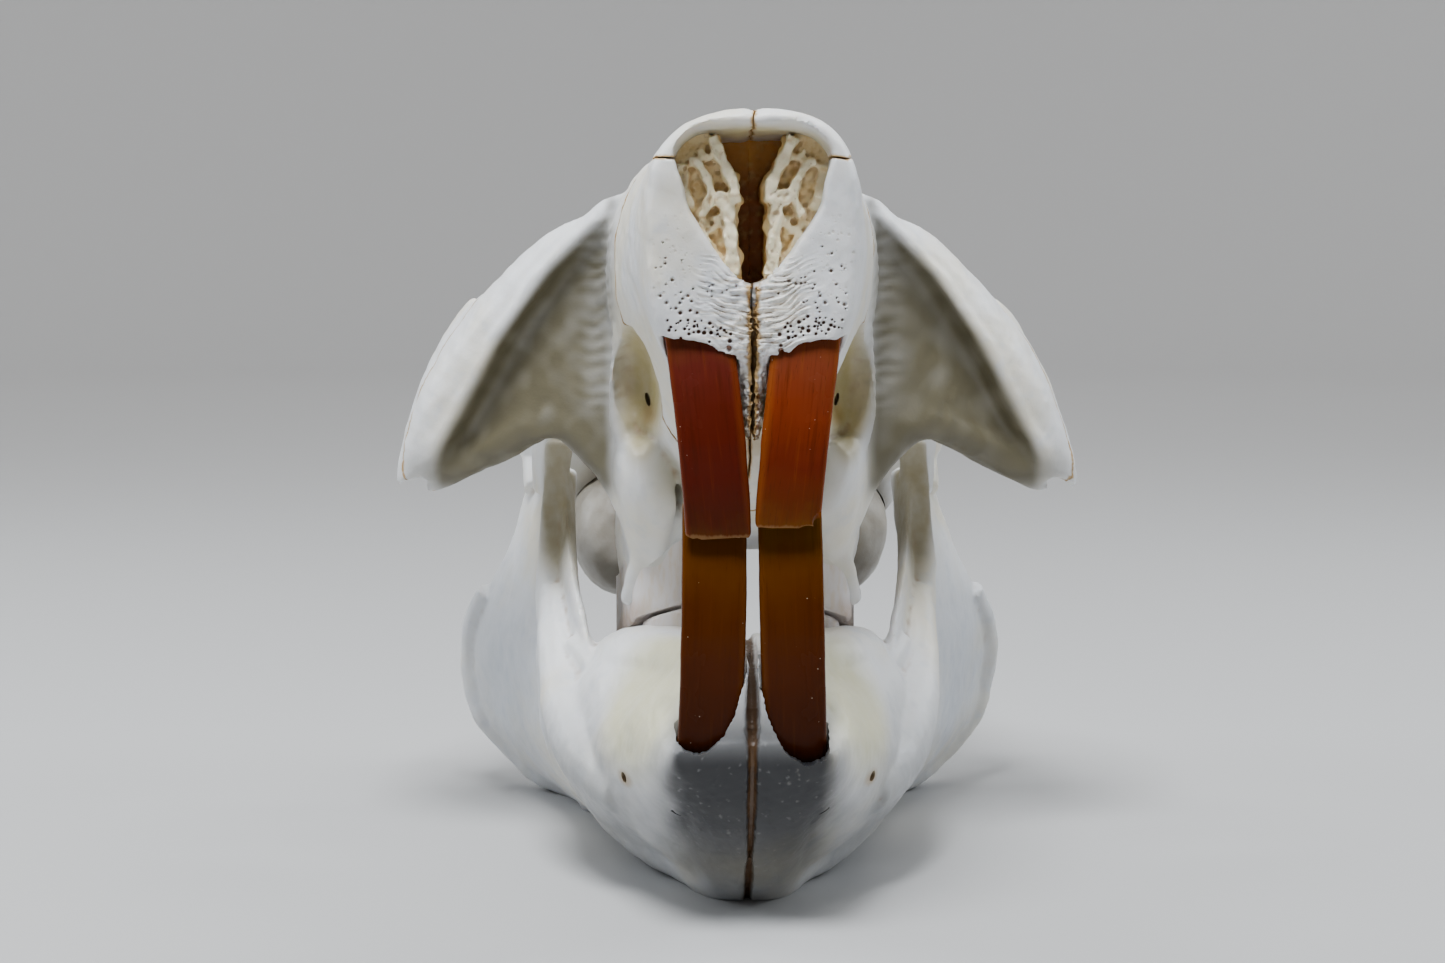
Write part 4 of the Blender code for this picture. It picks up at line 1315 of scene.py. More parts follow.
@dataclass
class Turbinates:
    """Scrolled sheets of bone inside the nasal opening, with a clear slot along the midline.

    A sheet is its course in x and z, its thickness and the y of its front edge.
    """

    sheets: tuple[tuple[tuple[tuple[float, float], ...], float, float], ...] = (
        (((5.0, 99.8), (4.5, 98.6), (3.7, 96.9), (2.9, 95.2), (2.3, 93.8), (2.1, 91.8)), 1.5, 4.6),
        (((6.5, 98.3), (5.8, 97.3), (4.9, 97.5), (4.3, 98.0)), 0.9, 6.0),
        (((8.9, 96.6), (8.6, 93.4), (7.8, 90.8)), 1.9, 6.2),
        (((7.8, 96.7), (6.9, 96.6), (5.9, 95.3), (5.2, 93.6), (5.3, 91.9), (6.2, 90.2)), 1.15, 5.0),
        (((6.3, 90.4), (5.7, 88.8), (4.7, 88.5), (4.2, 89.3), (4.5, 90.2)), 0.95, 6.0),
        (((4.7, 92.0), (3.8, 92.5), (3.1, 91.4), (2.9, 89.6), (2.7, 87.2), (2.5, 84.8), (2.3, 82.9)),
         1.75, 4.8),
        (((7.0, 89.2), (5.8, 87.3), (4.6, 85.4), (3.2, 83.6)), 1.3, 6.4),
    )
    filling: tuple[tuple[float, float], ...] = (
        (1.8, 82.3), (1.75, 86.0), (1.9, 92.0), (2.2, 94.3), (3.5, 97.4), (4.7, 99.6), (6.0, 101.2),
        (8.8, 99.8), (10.0, 97.0), (9.4, 93.0), (8.4, 90.2), (6.6, 87.2), (4.4, 83.8), (3.0, 81.6),
    )
    # Outline of the back wall that closes the slot at y = wall; the material paints it dark brown as shade.
    slot: tuple[tuple[float, float], ...] = (
        (-0.04, 80.6), (2.2, 81.6), (2.4, 92.0), (3.0, 94.6), (4.2, 97.6), (5.4, 100.6), (4.0, 102.0),
        (-0.04, 101.6),
    )
    front: float = 7.2
    wall: float = 16.0
    back: float = 27.0
    voxel: float = 0.25

    def sheet(self, line: Sequence[tuple[float, float]], wall: float, front: float, seed: float) -> Shell:
        """One sheet that follows a line across the nose and runs back.

        Args:
            line: the x and z of its course.
            wall: its thickness.
            front: y of its uneven front edge.
            seed: shifts the unevenness.

        Returns:
            The sheet.
        """
        course = smooth_rows(line, 8)
        travel = np.gradient(course, axis=0)
        travel /= np.linalg.norm(travel, axis=1)[:, None]
        normal = np.stack([-travel[:, 1], travel[:, 0]], axis=1)
        distance = np.concatenate([[0], np.cumsum(np.linalg.norm(np.diff(course, axis=0), axis=1))])
        rings = []
        for t in (0.0, 0.05, 0.12, 0.3, 0.6, 1.0):
            y = front + (self.back - front) * t
            drift = 0.7 * t * np.sin(distance * 0.5 + seed)
            half = wall / 2 * (0.85 + 0.15 * min(1.0, t / 0.12))
            half = half * (1 + 0.16 * np.sin(distance * 1.9 + seed * 2.0))
            torn = 0.9 * wander(distance * 1.3, np.zeros_like(distance), seed) * max(0.0, 1 - t * 6)
            sides = [course + normal * (drift + sign * half)[:, None] for sign in (1, -1)]
            outline = np.vstack([sides[0], sides[1][::-1]])
            depth = y + np.concatenate([torn, torn[::-1]])
            rings.append(np.stack([outline[:, 0], depth, outline[:, 1]], axis=1))
        return Shell.loft(rings)

    def dress(self) -> None:
        """Build, paint and hand over the scrolls of both sides."""
        for side in Side:
            shells = [self.sheet(line, wall, front, 1.7 * k + side.value).on(side)
                      for k, (line, wall, front) in enumerate(self.sheets)]
            for outline, start, end in ((self.filling, self.front, self.back),
                                        (self.slot, self.wall, self.wall + 5.0)):
                shells.append(Shell.loft([np.array([(x * size, y, 90.0 + (z - 90.0) * size) for x, z in outline])
                                          for y, size in ((start, 1.0), (end, 0.86))]).on(side))
            body = Body.from_shell("scrolls", Shell.join(shells)).melt(self.voxel, 3).push(self.relief)
            body.finish(f"nasal_scrolls_{side.word}", self.material(side), BONE_SLOT,
                        f"premaxilla_{side.word}", 60.0)

    @staticmethod
    def relief(points: np.ndarray) -> np.ndarray:
        """Small relief over the sheets, and larger lumps on the bone between them."""
        between = fade(points[:, 1], 7.0, 8.6) * fade(points[:, 1], 12.0, 10.0)
        return (0.06 * swell(points, 1.5, 21) + 0.04 * swell(points, 0.8, 22)
                + between * (0.55 * swell(points, 2.2, 23) - 0.2))

    @staticmethod
    def material(side: Side) -> bpy.types.Material:
        """Thin cream bone, with painted shade that turns it ochre and then brown further back and darkens its
        creases.

        Args:
            side: the side of the scrolls.

        Returns:
            The material.
        """
        paint = Paint(f"scroll_bone_{side.word}")
        grain = paint.noise(0.9, 4.0)
        # Painted shade: ochre further back in the nose.
        deep = paint.grade(paint.y + 3.0 * grain, 6.2, 11.0)
        colour = paint.mix(deep, (0.90, 0.81, 0.58), (0.86, 0.59, 0.23))
        # Painted shade deep in the nose: dark brown low down, ochre brown higher up, on the far sheets and the
        # back wall.
        inside = paint.mix(paint.grade(paint.z, 93.0, 99.0), (0.28, 0.085, 0.008), (0.66, 0.31, 0.06))
        colour = paint.mix(paint.grade(paint.y, 10.5, 16.0), colour, inside)
        colour = paint.mix(paint.grade(grain, 0.5, 0.72) * 0.4, colour, (0.62, 0.42, 0.16))
        # Painted shade in the creases.
        colour = paint.mix(paint.grade(paint.edge(), 0.49, 0.45) * 0.6, colour, (0.30, 0.15, 0.04))
        paint.bump(grain, 0.15, 0.6)
        return paint.feed(Base_Color=colour, Roughness=0.5 + 0.2 * grain, Subsurface_Weight=0.15,
                          Subsurface_Radius=(1.0, 0.55, 0.25), Subsurface_Scale=0.001)


@dataclass
class Cranium:
    """Upper skull: one melted form with its openings, parted into bones along uneven sutures.

    A row of the core is y, top, bottom, the half width at three heights and the squareness above and below.
    Sheets are rows of two edge points and a thickness, rods are rows of x, y, z and radius, and outlines are
    pairs of x and z.
    """

    core: Table = (
        (1.4, 102.0, 73.4, 12.5, 12.3, 11.9, 2.7, 5.0),
        (3.2, 103.0, 71.0, 13.8, 13.2, 12.4, 2.7, 4.6),
        (9.0, 103.2, 65.2, 14.8, 13.8, 11.9, 2.6, 3.4),
        (15.0, 103.2, 58.6, 15.3, 14.4, 10.0, 2.7, 2.8),
        (25.0, 101.9, 53.2, 16.6, 15.6, 9.4, 3.2, 2.8),
        (35.0, 100.0, 48.8, 18.0, 16.6, 11.2, 4.0, 3.0),
        (43.0, 98.2, 46.6, 19.4, 17.8, 13.0, 3.6, 3.0),
        (50.0, 96.4, 45.0, 19.0, 15.8, 14.0, 3.2, 2.8),
        (58.0, 94.2, 43.4, 14.6, 11.8, 14.0, 2.8, 2.8),
        (66.0, 91.8, 41.8, 12.4, 10.8, 14.0, 2.6, 2.6),
        (74.0, 89.2, 43.4, 12.6, 13.6, 12.6, 2.4, 2.6),
        (82.0, 86.4, 47.6, 16.4, 19.8, 13.6, 2.3, 2.5),
        (90.0, 83.8, 47.8, 19.4, 23.2, 17.0, 2.3, 2.4),
        (98.0, 81.0, 46.4, 20.6, 24.4, 20.0, 2.3, 2.4),
        (106.0, 78.4, 45.0, 21.8, 26.2, 23.4, 2.3, 2.4),
        (114.0, 76.0, 43.6, 23.6, 28.6, 25.0, 2.4, 2.5),
        (121.0, 74.0, 42.8, 24.4, 28.6, 22.0, 2.5, 2.6),
        (127.0, 73.0, 43.8, 22.0, 24.4, 17.6, 2.6, 2.6),
    )
    plate: Table = (
        ((13.0, 35.0, 91.0), (11.0, 38.0, 57.0), 4.6),
        ((16.6, 41.6, 92.0), (16.6, 42.6, 58.0), 4.8),
        ((20.4, 46.8, 90.6), (22.4, 46.2, 61.6), 4.6),
        ((25.4, 49.4, 85.6), (28.4, 48.6, 61.2), 4.2),
        ((31.0, 51.6, 78.4), (34.0, 51.4, 58.6), 4.2),
        ((36.8, 53.8, 70.2), (39.4, 54.2, 55.4), 4.6),
        ((42.0, 56.0, 61.6), (43.4, 56.4, 53.8), 5.0),
        ((44.6, 57.0, 56.6), (45.4, 57.2, 53.4), 4.6),
    )
    arch: Table = (
        ((20.0, 47.4, 91.0), (44.6, 55.6, 54.8), 3.6),
        ((27.0, 51.8, 87.6), (47.0, 56.6, 54.6), 4.6),
        ((32.8, 56.8, 82.4), (48.6, 58.6, 54.0), 4.8),
        ((36.8, 61.6, 79.0), (49.2, 63.2, 54.0), 4.4),
        ((39.0, 67.4, 77.6), (48.8, 68.6, 54.8), 4.0),
        ((39.8, 72.5, 77.8), (47.8, 73.5, 56.2), 3.8),
        ((41.0, 77.0, 75.2), (46.4, 78.0, 58.0), 3.8),
        ((41.0, 82.5, 72.0), (44.0, 83.5, 60.0), 3.8),
        ((37.4, 88.5, 70.8), (39.0, 89.0, 62.6), 4.4),
        ((31.0, 92.5, 71.0), (32.0, 92.5, 63.8), 5.6),
        ((21.0, 95.0, 71.0), (22.0, 95.0, 62.0), 7.0),
    )
    tooth_wall: Table = (
        ((12.6, 35.0, 58.0), (10.6, 36.0, 52.0), 4.6),
        ((15.4, 42.0, 58.0), (12.4, 42.4, 44.4), 6.4),
        ((14.4, 51.0, 58.0), (13.0, 50.0, 41.2), 7.6),
        ((13.6, 60.0, 55.0), (13.8, 60.0, 40.0), 8.0),
        ((14.0, 69.0, 51.0), (14.6, 70.0, 37.6), 7.6),
        ((14.0, 76.0, 51.0), (14.4, 76.5, 41.6), 4.0),
    )
    rims: tuple[Table, ...] = (
        ((17.6, 45.8, 92.0, 2.0), (24.6, 48.8, 86.2, 1.9), (33.2, 51.4, 75.0, 1.9), (39.4, 53.6, 65.0, 2.2),
         (44.0, 55.8, 57.4, 2.6), (45.0, 57.0, 53.8, 2.6)),
        ((13.4, 43.6, 43.0, 2.2), (14.6, 44.4, 49.0, 2.8), (18.6, 46.9, 57.0, 3.2), (26.0, 50.0, 62.4, 2.8),
         (34.0, 53.2, 58.8, 2.6), (40.0, 56.0, 55.8, 2.6), (45.0, 57.6, 53.8, 2.6)),
        ((17.6, 40.6, 89.0, 1.2), (15.8, 38.4, 82.0, 1.2), (16.9, 39.2, 75.0, 1.3), (17.4, 39.8, 67.0, 1.3),
         (16.6, 40.2, 61.0, 1.5), (13.8, 40.4, 56.0, 1.8)),
        ((6.2, 44.8, 58.0, 3.2), (7.0, 44.6, 53.0, 3.2), (7.2, 45.0, 49.4, 2.4)),
        ((8.2, 43.0, 49.0, 2.3), (11.4, 43.0, 46.4, 2.5), (13.8, 43.4, 43.0, 2.0), (15.2, 44.2, 39.4, 1.5),
         (16.4, 45.4, 36.6, 1.0)),
        ((17.6, 46.0, 92.0, 2.0), (18.0, 52.0, 91.4, 1.8), (14.2, 60.0, 90.2, 1.6), (12.4, 68.0, 88.0, 1.4),
         (11.6, 76.0, 86.0, 1.2)),
    )
    crests: tuple[Table, ...] = (
        ((0.0, 126.8, 73.0, 1.8), (12.0, 126.8, 72.2, 1.8), (21.6, 123.8, 68.6, 2.0),
         (27.6, 118.6, 61.0, 2.4), (28.6, 114.4, 54.0, 3.0)),
        ((10.4, 78.0, 85.9, 1.5), (9.0, 92.0, 81.5, 1.5), (6.0, 108.0, 76.8, 1.5), (2.4, 124.0, 73.3, 1.5)),
        ((20.0, 104.0, 46.0, 6.4), (26.6, 105.4, 54.0, 5.4), (30.8, 106.4, 60.0, 4.4)),
        ((21.0, 119.0, 50.0, 4.4), (21.6, 119.8, 42.0, 3.0), (21.4, 119.0, 35.6, 1.6)),
        ((8.4, 74.0, 44.0, 2.6), (8.0, 80.0, 44.6, 2.2), (8.0, 86.0, 43.4, 2.0), (8.6, 91.0, 40.6, 1.6)),
        ((8.4, 75.0, 50.0, 3.4), (8.6, 84.0, 50.0, 3.4), (9.0, 92.0, 48.0, 3.0)),
        ((20.0, 90.0, 68.0, 5.0), (27.0, 90.4, 67.2, 4.6), (33.0, 89.6, 67.0, 4.0)),
    )
    septum: Table = (
        ((0, 6.0, 79), (0, 17, 78), 7.6), ((0, 4.4, 73), (0, 15, 70), 5.0),
        ((0, 3.8, 67), (0, 13, 66), 3.0), ((0, 3.8, 62.4), (0, 10, 62.4), 1.7),
    )
    nares: tuple[tuple[float, float], ...] = (
        (0.0, 81.6), (1.7, 82.3), (3.9, 84.8), (6.0, 88.1), (7.8, 91.0), (8.5, 94.0), (9.3, 96.5),
        (8.9, 98.2), (6.8, 100.2), (3.2, 100.6), (0.0, 100.3),
    )
    upper_rim: tuple[tuple[float, float], ...] = (
        (14.4, 40.0), (14.4, 60.0), (14.2, 72.4), (13.2, 74.6), (12.0, 75.2), (11.1, 75.5), (10.2, 75.1),
        (8.6, 75.0), (6.8, 74.8), (5.4, 74.4), (4.4, 73.5), (3.4, 72.1), (2.6, 70.3), (2.0, 68.2),
        (1.6, 65.6), (1.3, 63.0), (1.15, 61.0), (1.1, 58.0), (1.1, 50.0), (1.1, 40.0),
    )
    pits: Pits = Pits((
        (5.2, 76.0, 1.2, 0.5, 0.10, 30, 0.11, 0.24), (7.9, 76.7, 1.3, 0.6, 0.05, 34, 0.10, 0.22),
        (3.5, 74.6, 0.4, 0.6, 1.2, 3, 0.20, 0.32), (9.2, 79.6, 1.5, 2.0, 0.0, 22, 0.10, 0.26),
        (5.4, 81.4, 1.6, 1.2, 0.0, 9, 0.10, 0.26), (10.4, 84.0, 0.9, 2.6, 0.0, 6, 0.10, 0.18)), 9.0)
    voxel: float = 0.5
    fine: float = 0.24
    seeds: dict[str, Row] = field(default_factory=lambda: {
        "nasal_left": (-5, 25, 101.5), "nasal_right": (5, 25, 101.5),
        "premaxilla_left": (-14.0, 15, 80), "premaxilla_right": (14.0, 15, 80),
        "maxilla_left": (-15, 36, 72), "maxilla_right": (15, 36, 72),
        "frontal": (0, 62, 93), "braincase": (0, 100, 80),
        "jugal_left": (-48, 68, 60), "jugal_right": (48, 68, 60)})

    def trunk(self) -> Shell:
        """Loft of the symmetric sections along the head."""
        rings = []
        for y, top, bottom, upper, middle, lower, above, below in smooth_rows(self.core, 6):

            def edges(up: float) -> tuple[float, float]:
                """Left and right end at a height."""
                width = max(0.5, level_width(up, upper, middle, lower))
                return -width, width

            rings.append(section(y, top, bottom, (above, below), edges))
        return Shell.loft(rings)

    def forms(self) -> list[Shell]:
        """Every form that is melted into the upper skull."""
        shells = [self.trunk(), Shell.sheet(self.septum, 0.0)]
        for side in Side:
            shells += [Shell.sheet(self.plate, -2.6).on(side), Shell.sheet(self.arch, 1.2).on(side),
                       Shell.sheet(self.tooth_wall, 0.0).on(side)]
            shells += [Shell.tube(path).on(side) for path in self.rims + self.crests]
            shells += [Shell.ball((8.6, 124.8, 48.0), (4.4, 4.6, 6.4), (20, 0, -18)).on(side),
                       Shell.ball((24.4, 113.0, 53.0), (7.0, 7.6, 10.6), (0, 0, 14)).on(side)]
        return shells

    def nasal_opening(self) -> Shell:
        """Hollow behind the spade-shaped nasal opening."""
        half = smooth_rows(self.nares, 5)
        outline = np.vstack([half, half[-2:0:-1] * (-1, 1)])
        rings = []
        for y, wide, high, lift in ((-3.0, 1.10, 1.05, 1.4), (1.4, 1.03, 1.0, 0.9), (4.5, 0.99, 1.0, 0.0),
                                    (10.0, 1.04, 1.0, -0.4), (22.0, 1.02, 0.98, -0.8), (34.0, 0.8, 0.9, -2.4),
                                    (44.0, 0.5, 0.7, -4.0)):
            x, z = outline[:, 0] * wide, 91.0 + (outline[:, 1] - 91.0) * high
            z = z + lift * fade(outline[:, 1], 90.0, 99.0)
            rings.append(np.stack([x, np.full(len(x), y), z], axis=1))
        return Shell.loft(rings)

    def openings(self) -> list[Shell]:
        """The hollows that are carved before the edges are softened."""
        hollows = [self.nasal_opening(),
                   Shell.tube(((0, 134, 53.0, 6.6), (0, 126, 52.6, 6.4), (0, 114, 52.4, 5.6)), 32, 3),
                   Shell.tube(((0, 99, 48.0, 4.4), (0, 86, 48.0, 4.6), (0, 76, 46.0, 3.6)), 24, 3)]
        for side in Side:
            ear = ((35.0, 107.8, 67.0, 2.7), (30.8, 106.4, 60.0, 2.5), (26.6, 105.4, 54.0, 2.0))
            hollows += [Shell.ball((15.0, 28.6, 67.0), (3.9, 12.8, 9.6), (0, 6, -2)).on(side),
                        Shell.tube(ear, 18, 3).on(side)]
        return hollows

    def sockets(self) -> list[Shell]:
        """Incisor sockets, the windows that bare the teeth, and slits of the infraorbital canal."""
        cutters = []
        for side in Side:
            tooth = Incisor.make(Level.UPPER, side)
            window = Shell.front_block(ragged(self.upper_rim, 0.13, 3.0 + side.value), -6.0, 4.2)
            cutters += [tooth.sweep(60, 48, 0.22, 1.0), window.on(side), self.margin().on(side),
                        Shell.ball((13.0, 40.0, 65.6), (0.4, 1.9, 1.15), (0, 16, -4), 24).on(side)]
        return cutters

    def margin(self) -> Shell:
        """Block before the first cheek tooth that bares its face under a slanting margin of bone."""
        outline = ((4.4, 30.0), (4.4, 49.0), (6.4, 48.2), (8.2, 46.5), (10.8, 44.4), (13.1, 42.2), (14.6, 39.6),
                   (15.8, 37.4), (17.6, 35.0), (19.0, 33.6), (19.0, 30.0))
        return Shell.front_block(ragged(outline, 0.1, 1.0), 26.0, 41.7)

    def walls(self) -> list[SutureWall]:
        """Uneven walls that part the bones."""
        def flat(level: float) -> Callable[[np.ndarray, np.ndarray], np.ndarray]:
            """Level that is the same everywhere."""
            return lambda u, v: np.full_like(u, level)

        def roof(y: np.ndarray) -> np.ndarray:
            """Height of the floor under the nasal bones."""
            return np.interp(y, (-6.0, 8.0, 16.0, 25.0, 40.0, 49.0), (96.9, 97.3, 97.0, 96.3, 93.8, 91.0))

        def flank(y: np.ndarray) -> np.ndarray:
            """Half width of the pair of nasal bones."""
            return np.interp(y, (-6.0, 8.0, 16.0, 25.0, 40.0, 49.0), (14.6, 14.0, 12.6, 10.8, 9.2, 8.4))

        def deep(y: np.ndarray) -> np.ndarray:
            """Height of the wall under the frontal bone."""
            return np.interp(y, (49.0, 76.5), (84.0, 77.0))

        walls = [
            SutureWall(0, flat(0.0), (-6.0, 77.2), (25.0, 120.0), rough=0.22, seed=0.4,
                       keep=lambda y, z: (y < 48.4) | (z < deep(y) + 0.9)),
            SutureWall(2, lambda x, y: roof(y) + 0.0 * x, (-16.4, 16.4), (-6.0, 50.2), rough=0.22, seed=2.2,
                       keep=lambda x, y: np.abs(x) < flank(y) + 0.9),
            SutureWall(1, lambda x, z: 47.4 + 0.2 * np.abs(x), (-21.4, 21.4), (82.6, 112.0), rough=0.45,
                       seed=3.1),
            SutureWall(2, lambda x, y: deep(y) + 0.0 * x, (-21.4, 21.4), (46.0, 77.6), rough=0.25, seed=4.0,
                       keep=lambda x, y: y > 46.2 + 0.2 * np.abs(x)),
            SutureWall(1, lambda x, z: 76.6 + 0.0 * x, (-24.5, 24.5), (76.0, 112.0), rough=0.6, seed=5.3),
            SutureWall(1, lambda x, z: 76.2 + 0.0 * x, (-26.0, 26.0), (25.0, 77.6), rough=0.35, seed=6.1),
        ]
        for side in Side:
            s = side.value
            walls += [
                SutureWall(0, lambda y, z, s=s: s * flank(y), (-6.0, 50.2), (89.0, 115.0), rough=0.25,
                           seed=7.0 + s, keep=lambda y, z: z > roof(y) - 0.9),
                SutureWall(1, lambda x, z: 30.0 + 0.06 * (z - 60.0), *self._sided(s, -0.6, 30.0, 40.0, 98.4),
                           rough=0.45, seed=8.0 + s),
                SutureWall(1, lambda x, z: 30.0 + 0.06 * (z - 60.0), *self._sided(s, 9.6, 30.0, 97.6, 120.0),
                           rough=0.45, seed=8.0 + s),
                SutureWall(0, flat(s * 20.4), (50.2, 78.2), (75.0, 112.0), rough=0.3, seed=9.0 + s),
                SutureWall(1, lambda x, z: 58.5 + 0.10 * (z - 66.0), *self._sided(s, 28.0, 56.0, 46.0, 92.0),
                           rough=0.45, seed=10.0 + s),
                SutureWall(1, lambda x, z: 85.5 - 0.25 * (z - 66.0), *self._sided(s, 28.0, 56.0, 46.0, 92.0),
                           rough=0.35, seed=11.0 + s),
            ]
        return walls

    @staticmethod
    def _sided(s: int, near: float, far: float, low: float, high: float) -> tuple[tuple[float, float], ...]:
        """Ranges of x and z on one side."""
        return (tuple(sorted((s * near, s * far))), (low, high))

    def relief(self, points: np.ndarray) -> np.ndarray:
        """Swells and small relief over the bones, and the ripples where the chewing muscle was rooted."""
        x, y, z = np.abs(points[:, 0]), points[:, 1], points[:, 2]
        total = 0.16 * swell(points, 13.0, 1) + 0.06 * swell(points, 4.0, 2) + 0.03 * swell(points, 1.7, 3)
        inner = fade(x, 15.0, 17.0) * fade(x, 24.0, 18.0) * fade(z, 62.0, 68.0) * fade(z, 93.0, 88.0)
        inner = inner * fade(y, 36.0, 40.0) * fade(y, 54.0, 50.0)
        total += 0.07 * inner * np.sin((z + 0.22 * x) * 2 * math.pi / 1.75 + 1.3 * swell(points, 7.0, 4))
        away = self.beyond_ridge(points)
        front = fade(y, 59.5, 57.5) * fade(z, 54.0, 57.0) * fade(z, 93.0, 89.0) * fade(x, 18.0, 21.0)
        total += front * (0.5 * np.exp(-(away / 0.9) ** 2) - 0.5 * np.exp(-((away + 3.6) / 3.0) ** 2))
        groove = np.exp(-(x / 0.8) ** 2) * fade(z, 97.5, 99.5) * fade(y, 49.0, 44.0)
        return total - 0.35 * groove

    @staticmethod
    def beyond_ridge(points: np.ndarray) -> np.ndarray:
        """Distance outside the ridge line on the front of the cheek plate, negative on its inner side."""
        line = np.interp(points[:, 2], (55.7, 59.0, 68.4, 73.8, 82.9, 91.4),
                         (44.4, 43.3, 37.9, 35.0, 28.4, 19.4))
        return 0.8 * (np.abs(points[:, 0]) - line)

    def hollow_shade(self, bone: Body) -> np.ndarray:
        """Painted shade on the face of the cheek plate inside its ridge, from 0 outside to 1."""
        points = bone.points()
        x, y, z = np.abs(points[:, 0]), points[:, 1], points[:, 2]
        facing = fade(-bone.normals()[:, 1], -0.3, 0.2)
        inner = fade(-self.beyond_ridge(points), -0.2, 1.4) * fade(x, 16.0, 19.5) * fade(y, 60.0, 58.0)
        comb = fade(x, 25.0, 18.0) * fade(z, 62.0, 67.0)
        comb = comb * (0.5 + 0.5 * np.sin(z * 3.1 + 1.5 * swell(points, 6.0, 64)))
        level = 0.97 - 0.13 * fade(x, 25.0, 16.5) * fade(z, 56.0, 66.0) + 0.03 * fade(z, 66.0, 58.0)
        cloudy = 1 + 0.05 * swell(points, 5.0, 65)
        return np.clip(inner * facing * level * (1 - 0.2 * comb) * cloudy, 0.0, 1.0) * fade(z, 50.0, 54.0)

    def build(self) -> dict[str, Body]:
        """Melt, carve, relieve and part the upper skull.

        Returns:
            The bones by node name.
        """
        whole = Body.from_shell("cranium", Shell.join(self.forms()))
        whole.melt(self.voxel, 6)
        for hollow in self.openings():
            whole.carve(hollow)
        whole.melt(self.voxel * 0.9, 3)
        whole.push(self.relief)
        walls = self.walls()
        capsules = [EarCapsule(side).form(0.12) for side in Side]
        for cutter in self.sockets() + capsules + [wall.shell() for wall in walls]:
            whole.carve(cutter)
        bones = whole.split(self.seeds)
        for name, bone in bones.items():
            if name.startswith("premaxilla"):
                self.weather(bone)
            points = bone.points()
            near = np.max([wall.near(points, 0.3) for wall in walls], axis=0)
            inside = fade(points[:, 1], 4.0, 6.0) * (np.abs(points[:, 0]) < 11.0) * (points[:, 2] > 79.0)
            bone.tone("seam", np.maximum(near, self.groove(points)) * (1 - inside * (points[:, 2] < 99.5)))
            # Painted shade on the face of the cheek plate.
            if name.startswith(("maxilla", "jugal")):
                bone.tone("shade", self.hollow_shade(bone))
        return bones

    def weather(self, bone: Body) -> None:
        """Finer mesh for the front of the snout, with its pits, wrinkles and broken midline suture.

        Args:
            bone: one premaxilla.
        """
        bone.melt(self.fine, 1)
        bone.refine(lambda points: (points[:, 1] < 8.0) & (points[:, 2] < 92.0), 1)

        def amount(points: np.ndarray) -> np.ndarray:
            """Height of the detail."""
            x, y, z = np.abs(points[:, 0]), points[:, 1], points[:, 2]
            front = fade(y, 9.0, 5.0)
            arcs = z - 0.05 * x * x + 0.5 * swell(points, 4.5, 61)
            lines = fade(x, 9.5, 3.0) * fade(z, 72.5, 75.5) * fade(z, 87.0, 82.5)
            broken = 0.6 + 0.6 * swell(points, 1.8, 66)
            wrinkles = np.sin(arcs * 2 * math.pi / 0.8) + 0.6 * np.sin(arcs * 2 * math.pi / 0.37 + x)
            wrinkles = broken * lines * wrinkles
            below = fade(x, 3.2, 1.6) * fade(z, 76.5, 74.5)
            rough = swell(points, 0.9, 62) * (0.12 + fade(x, 6.0, 1.0)) * fade(z, 86.0, 82.0)
            return front * (0.11 * wrinkles + 0.10 * rough + 0.08 * below * swell(points, 0.6, 63)
                            - 0.4 * self.groove(points) - 0.5 * self.pits.depth(points))

        places = bone.points()
        # Painted shade inside the pits, weaker above z = 79.5.
        dark = self.pits.depth(places) * (1 - 0.66 * fade(places[:, 2], 77.0, 79.5))
        bone.push(amount)
        bone.tone("stain", dark)

    @staticmethod
    def groove(points: np.ndarray) -> np.ndarray:
        """Broken groove down the front of the snout, from 0 outside to 1."""
        x, y, z = np.abs(points[:, 0]), points[:, 1], points[:, 2]
        wide = 0.66 + 0.016 * (z - 66.0) + 0.3 * wander(z * 1.7, x * 0.0, 2.0 + np.sign(points[:, 0]))
        ends = fade(z, 83.4, 82.0) * fade(z, 60.0, 61.0) * fade(y, 9.0, 6.0)
        return np.exp(-(x / np.maximum(wide, 0.15)) ** 4) * ends

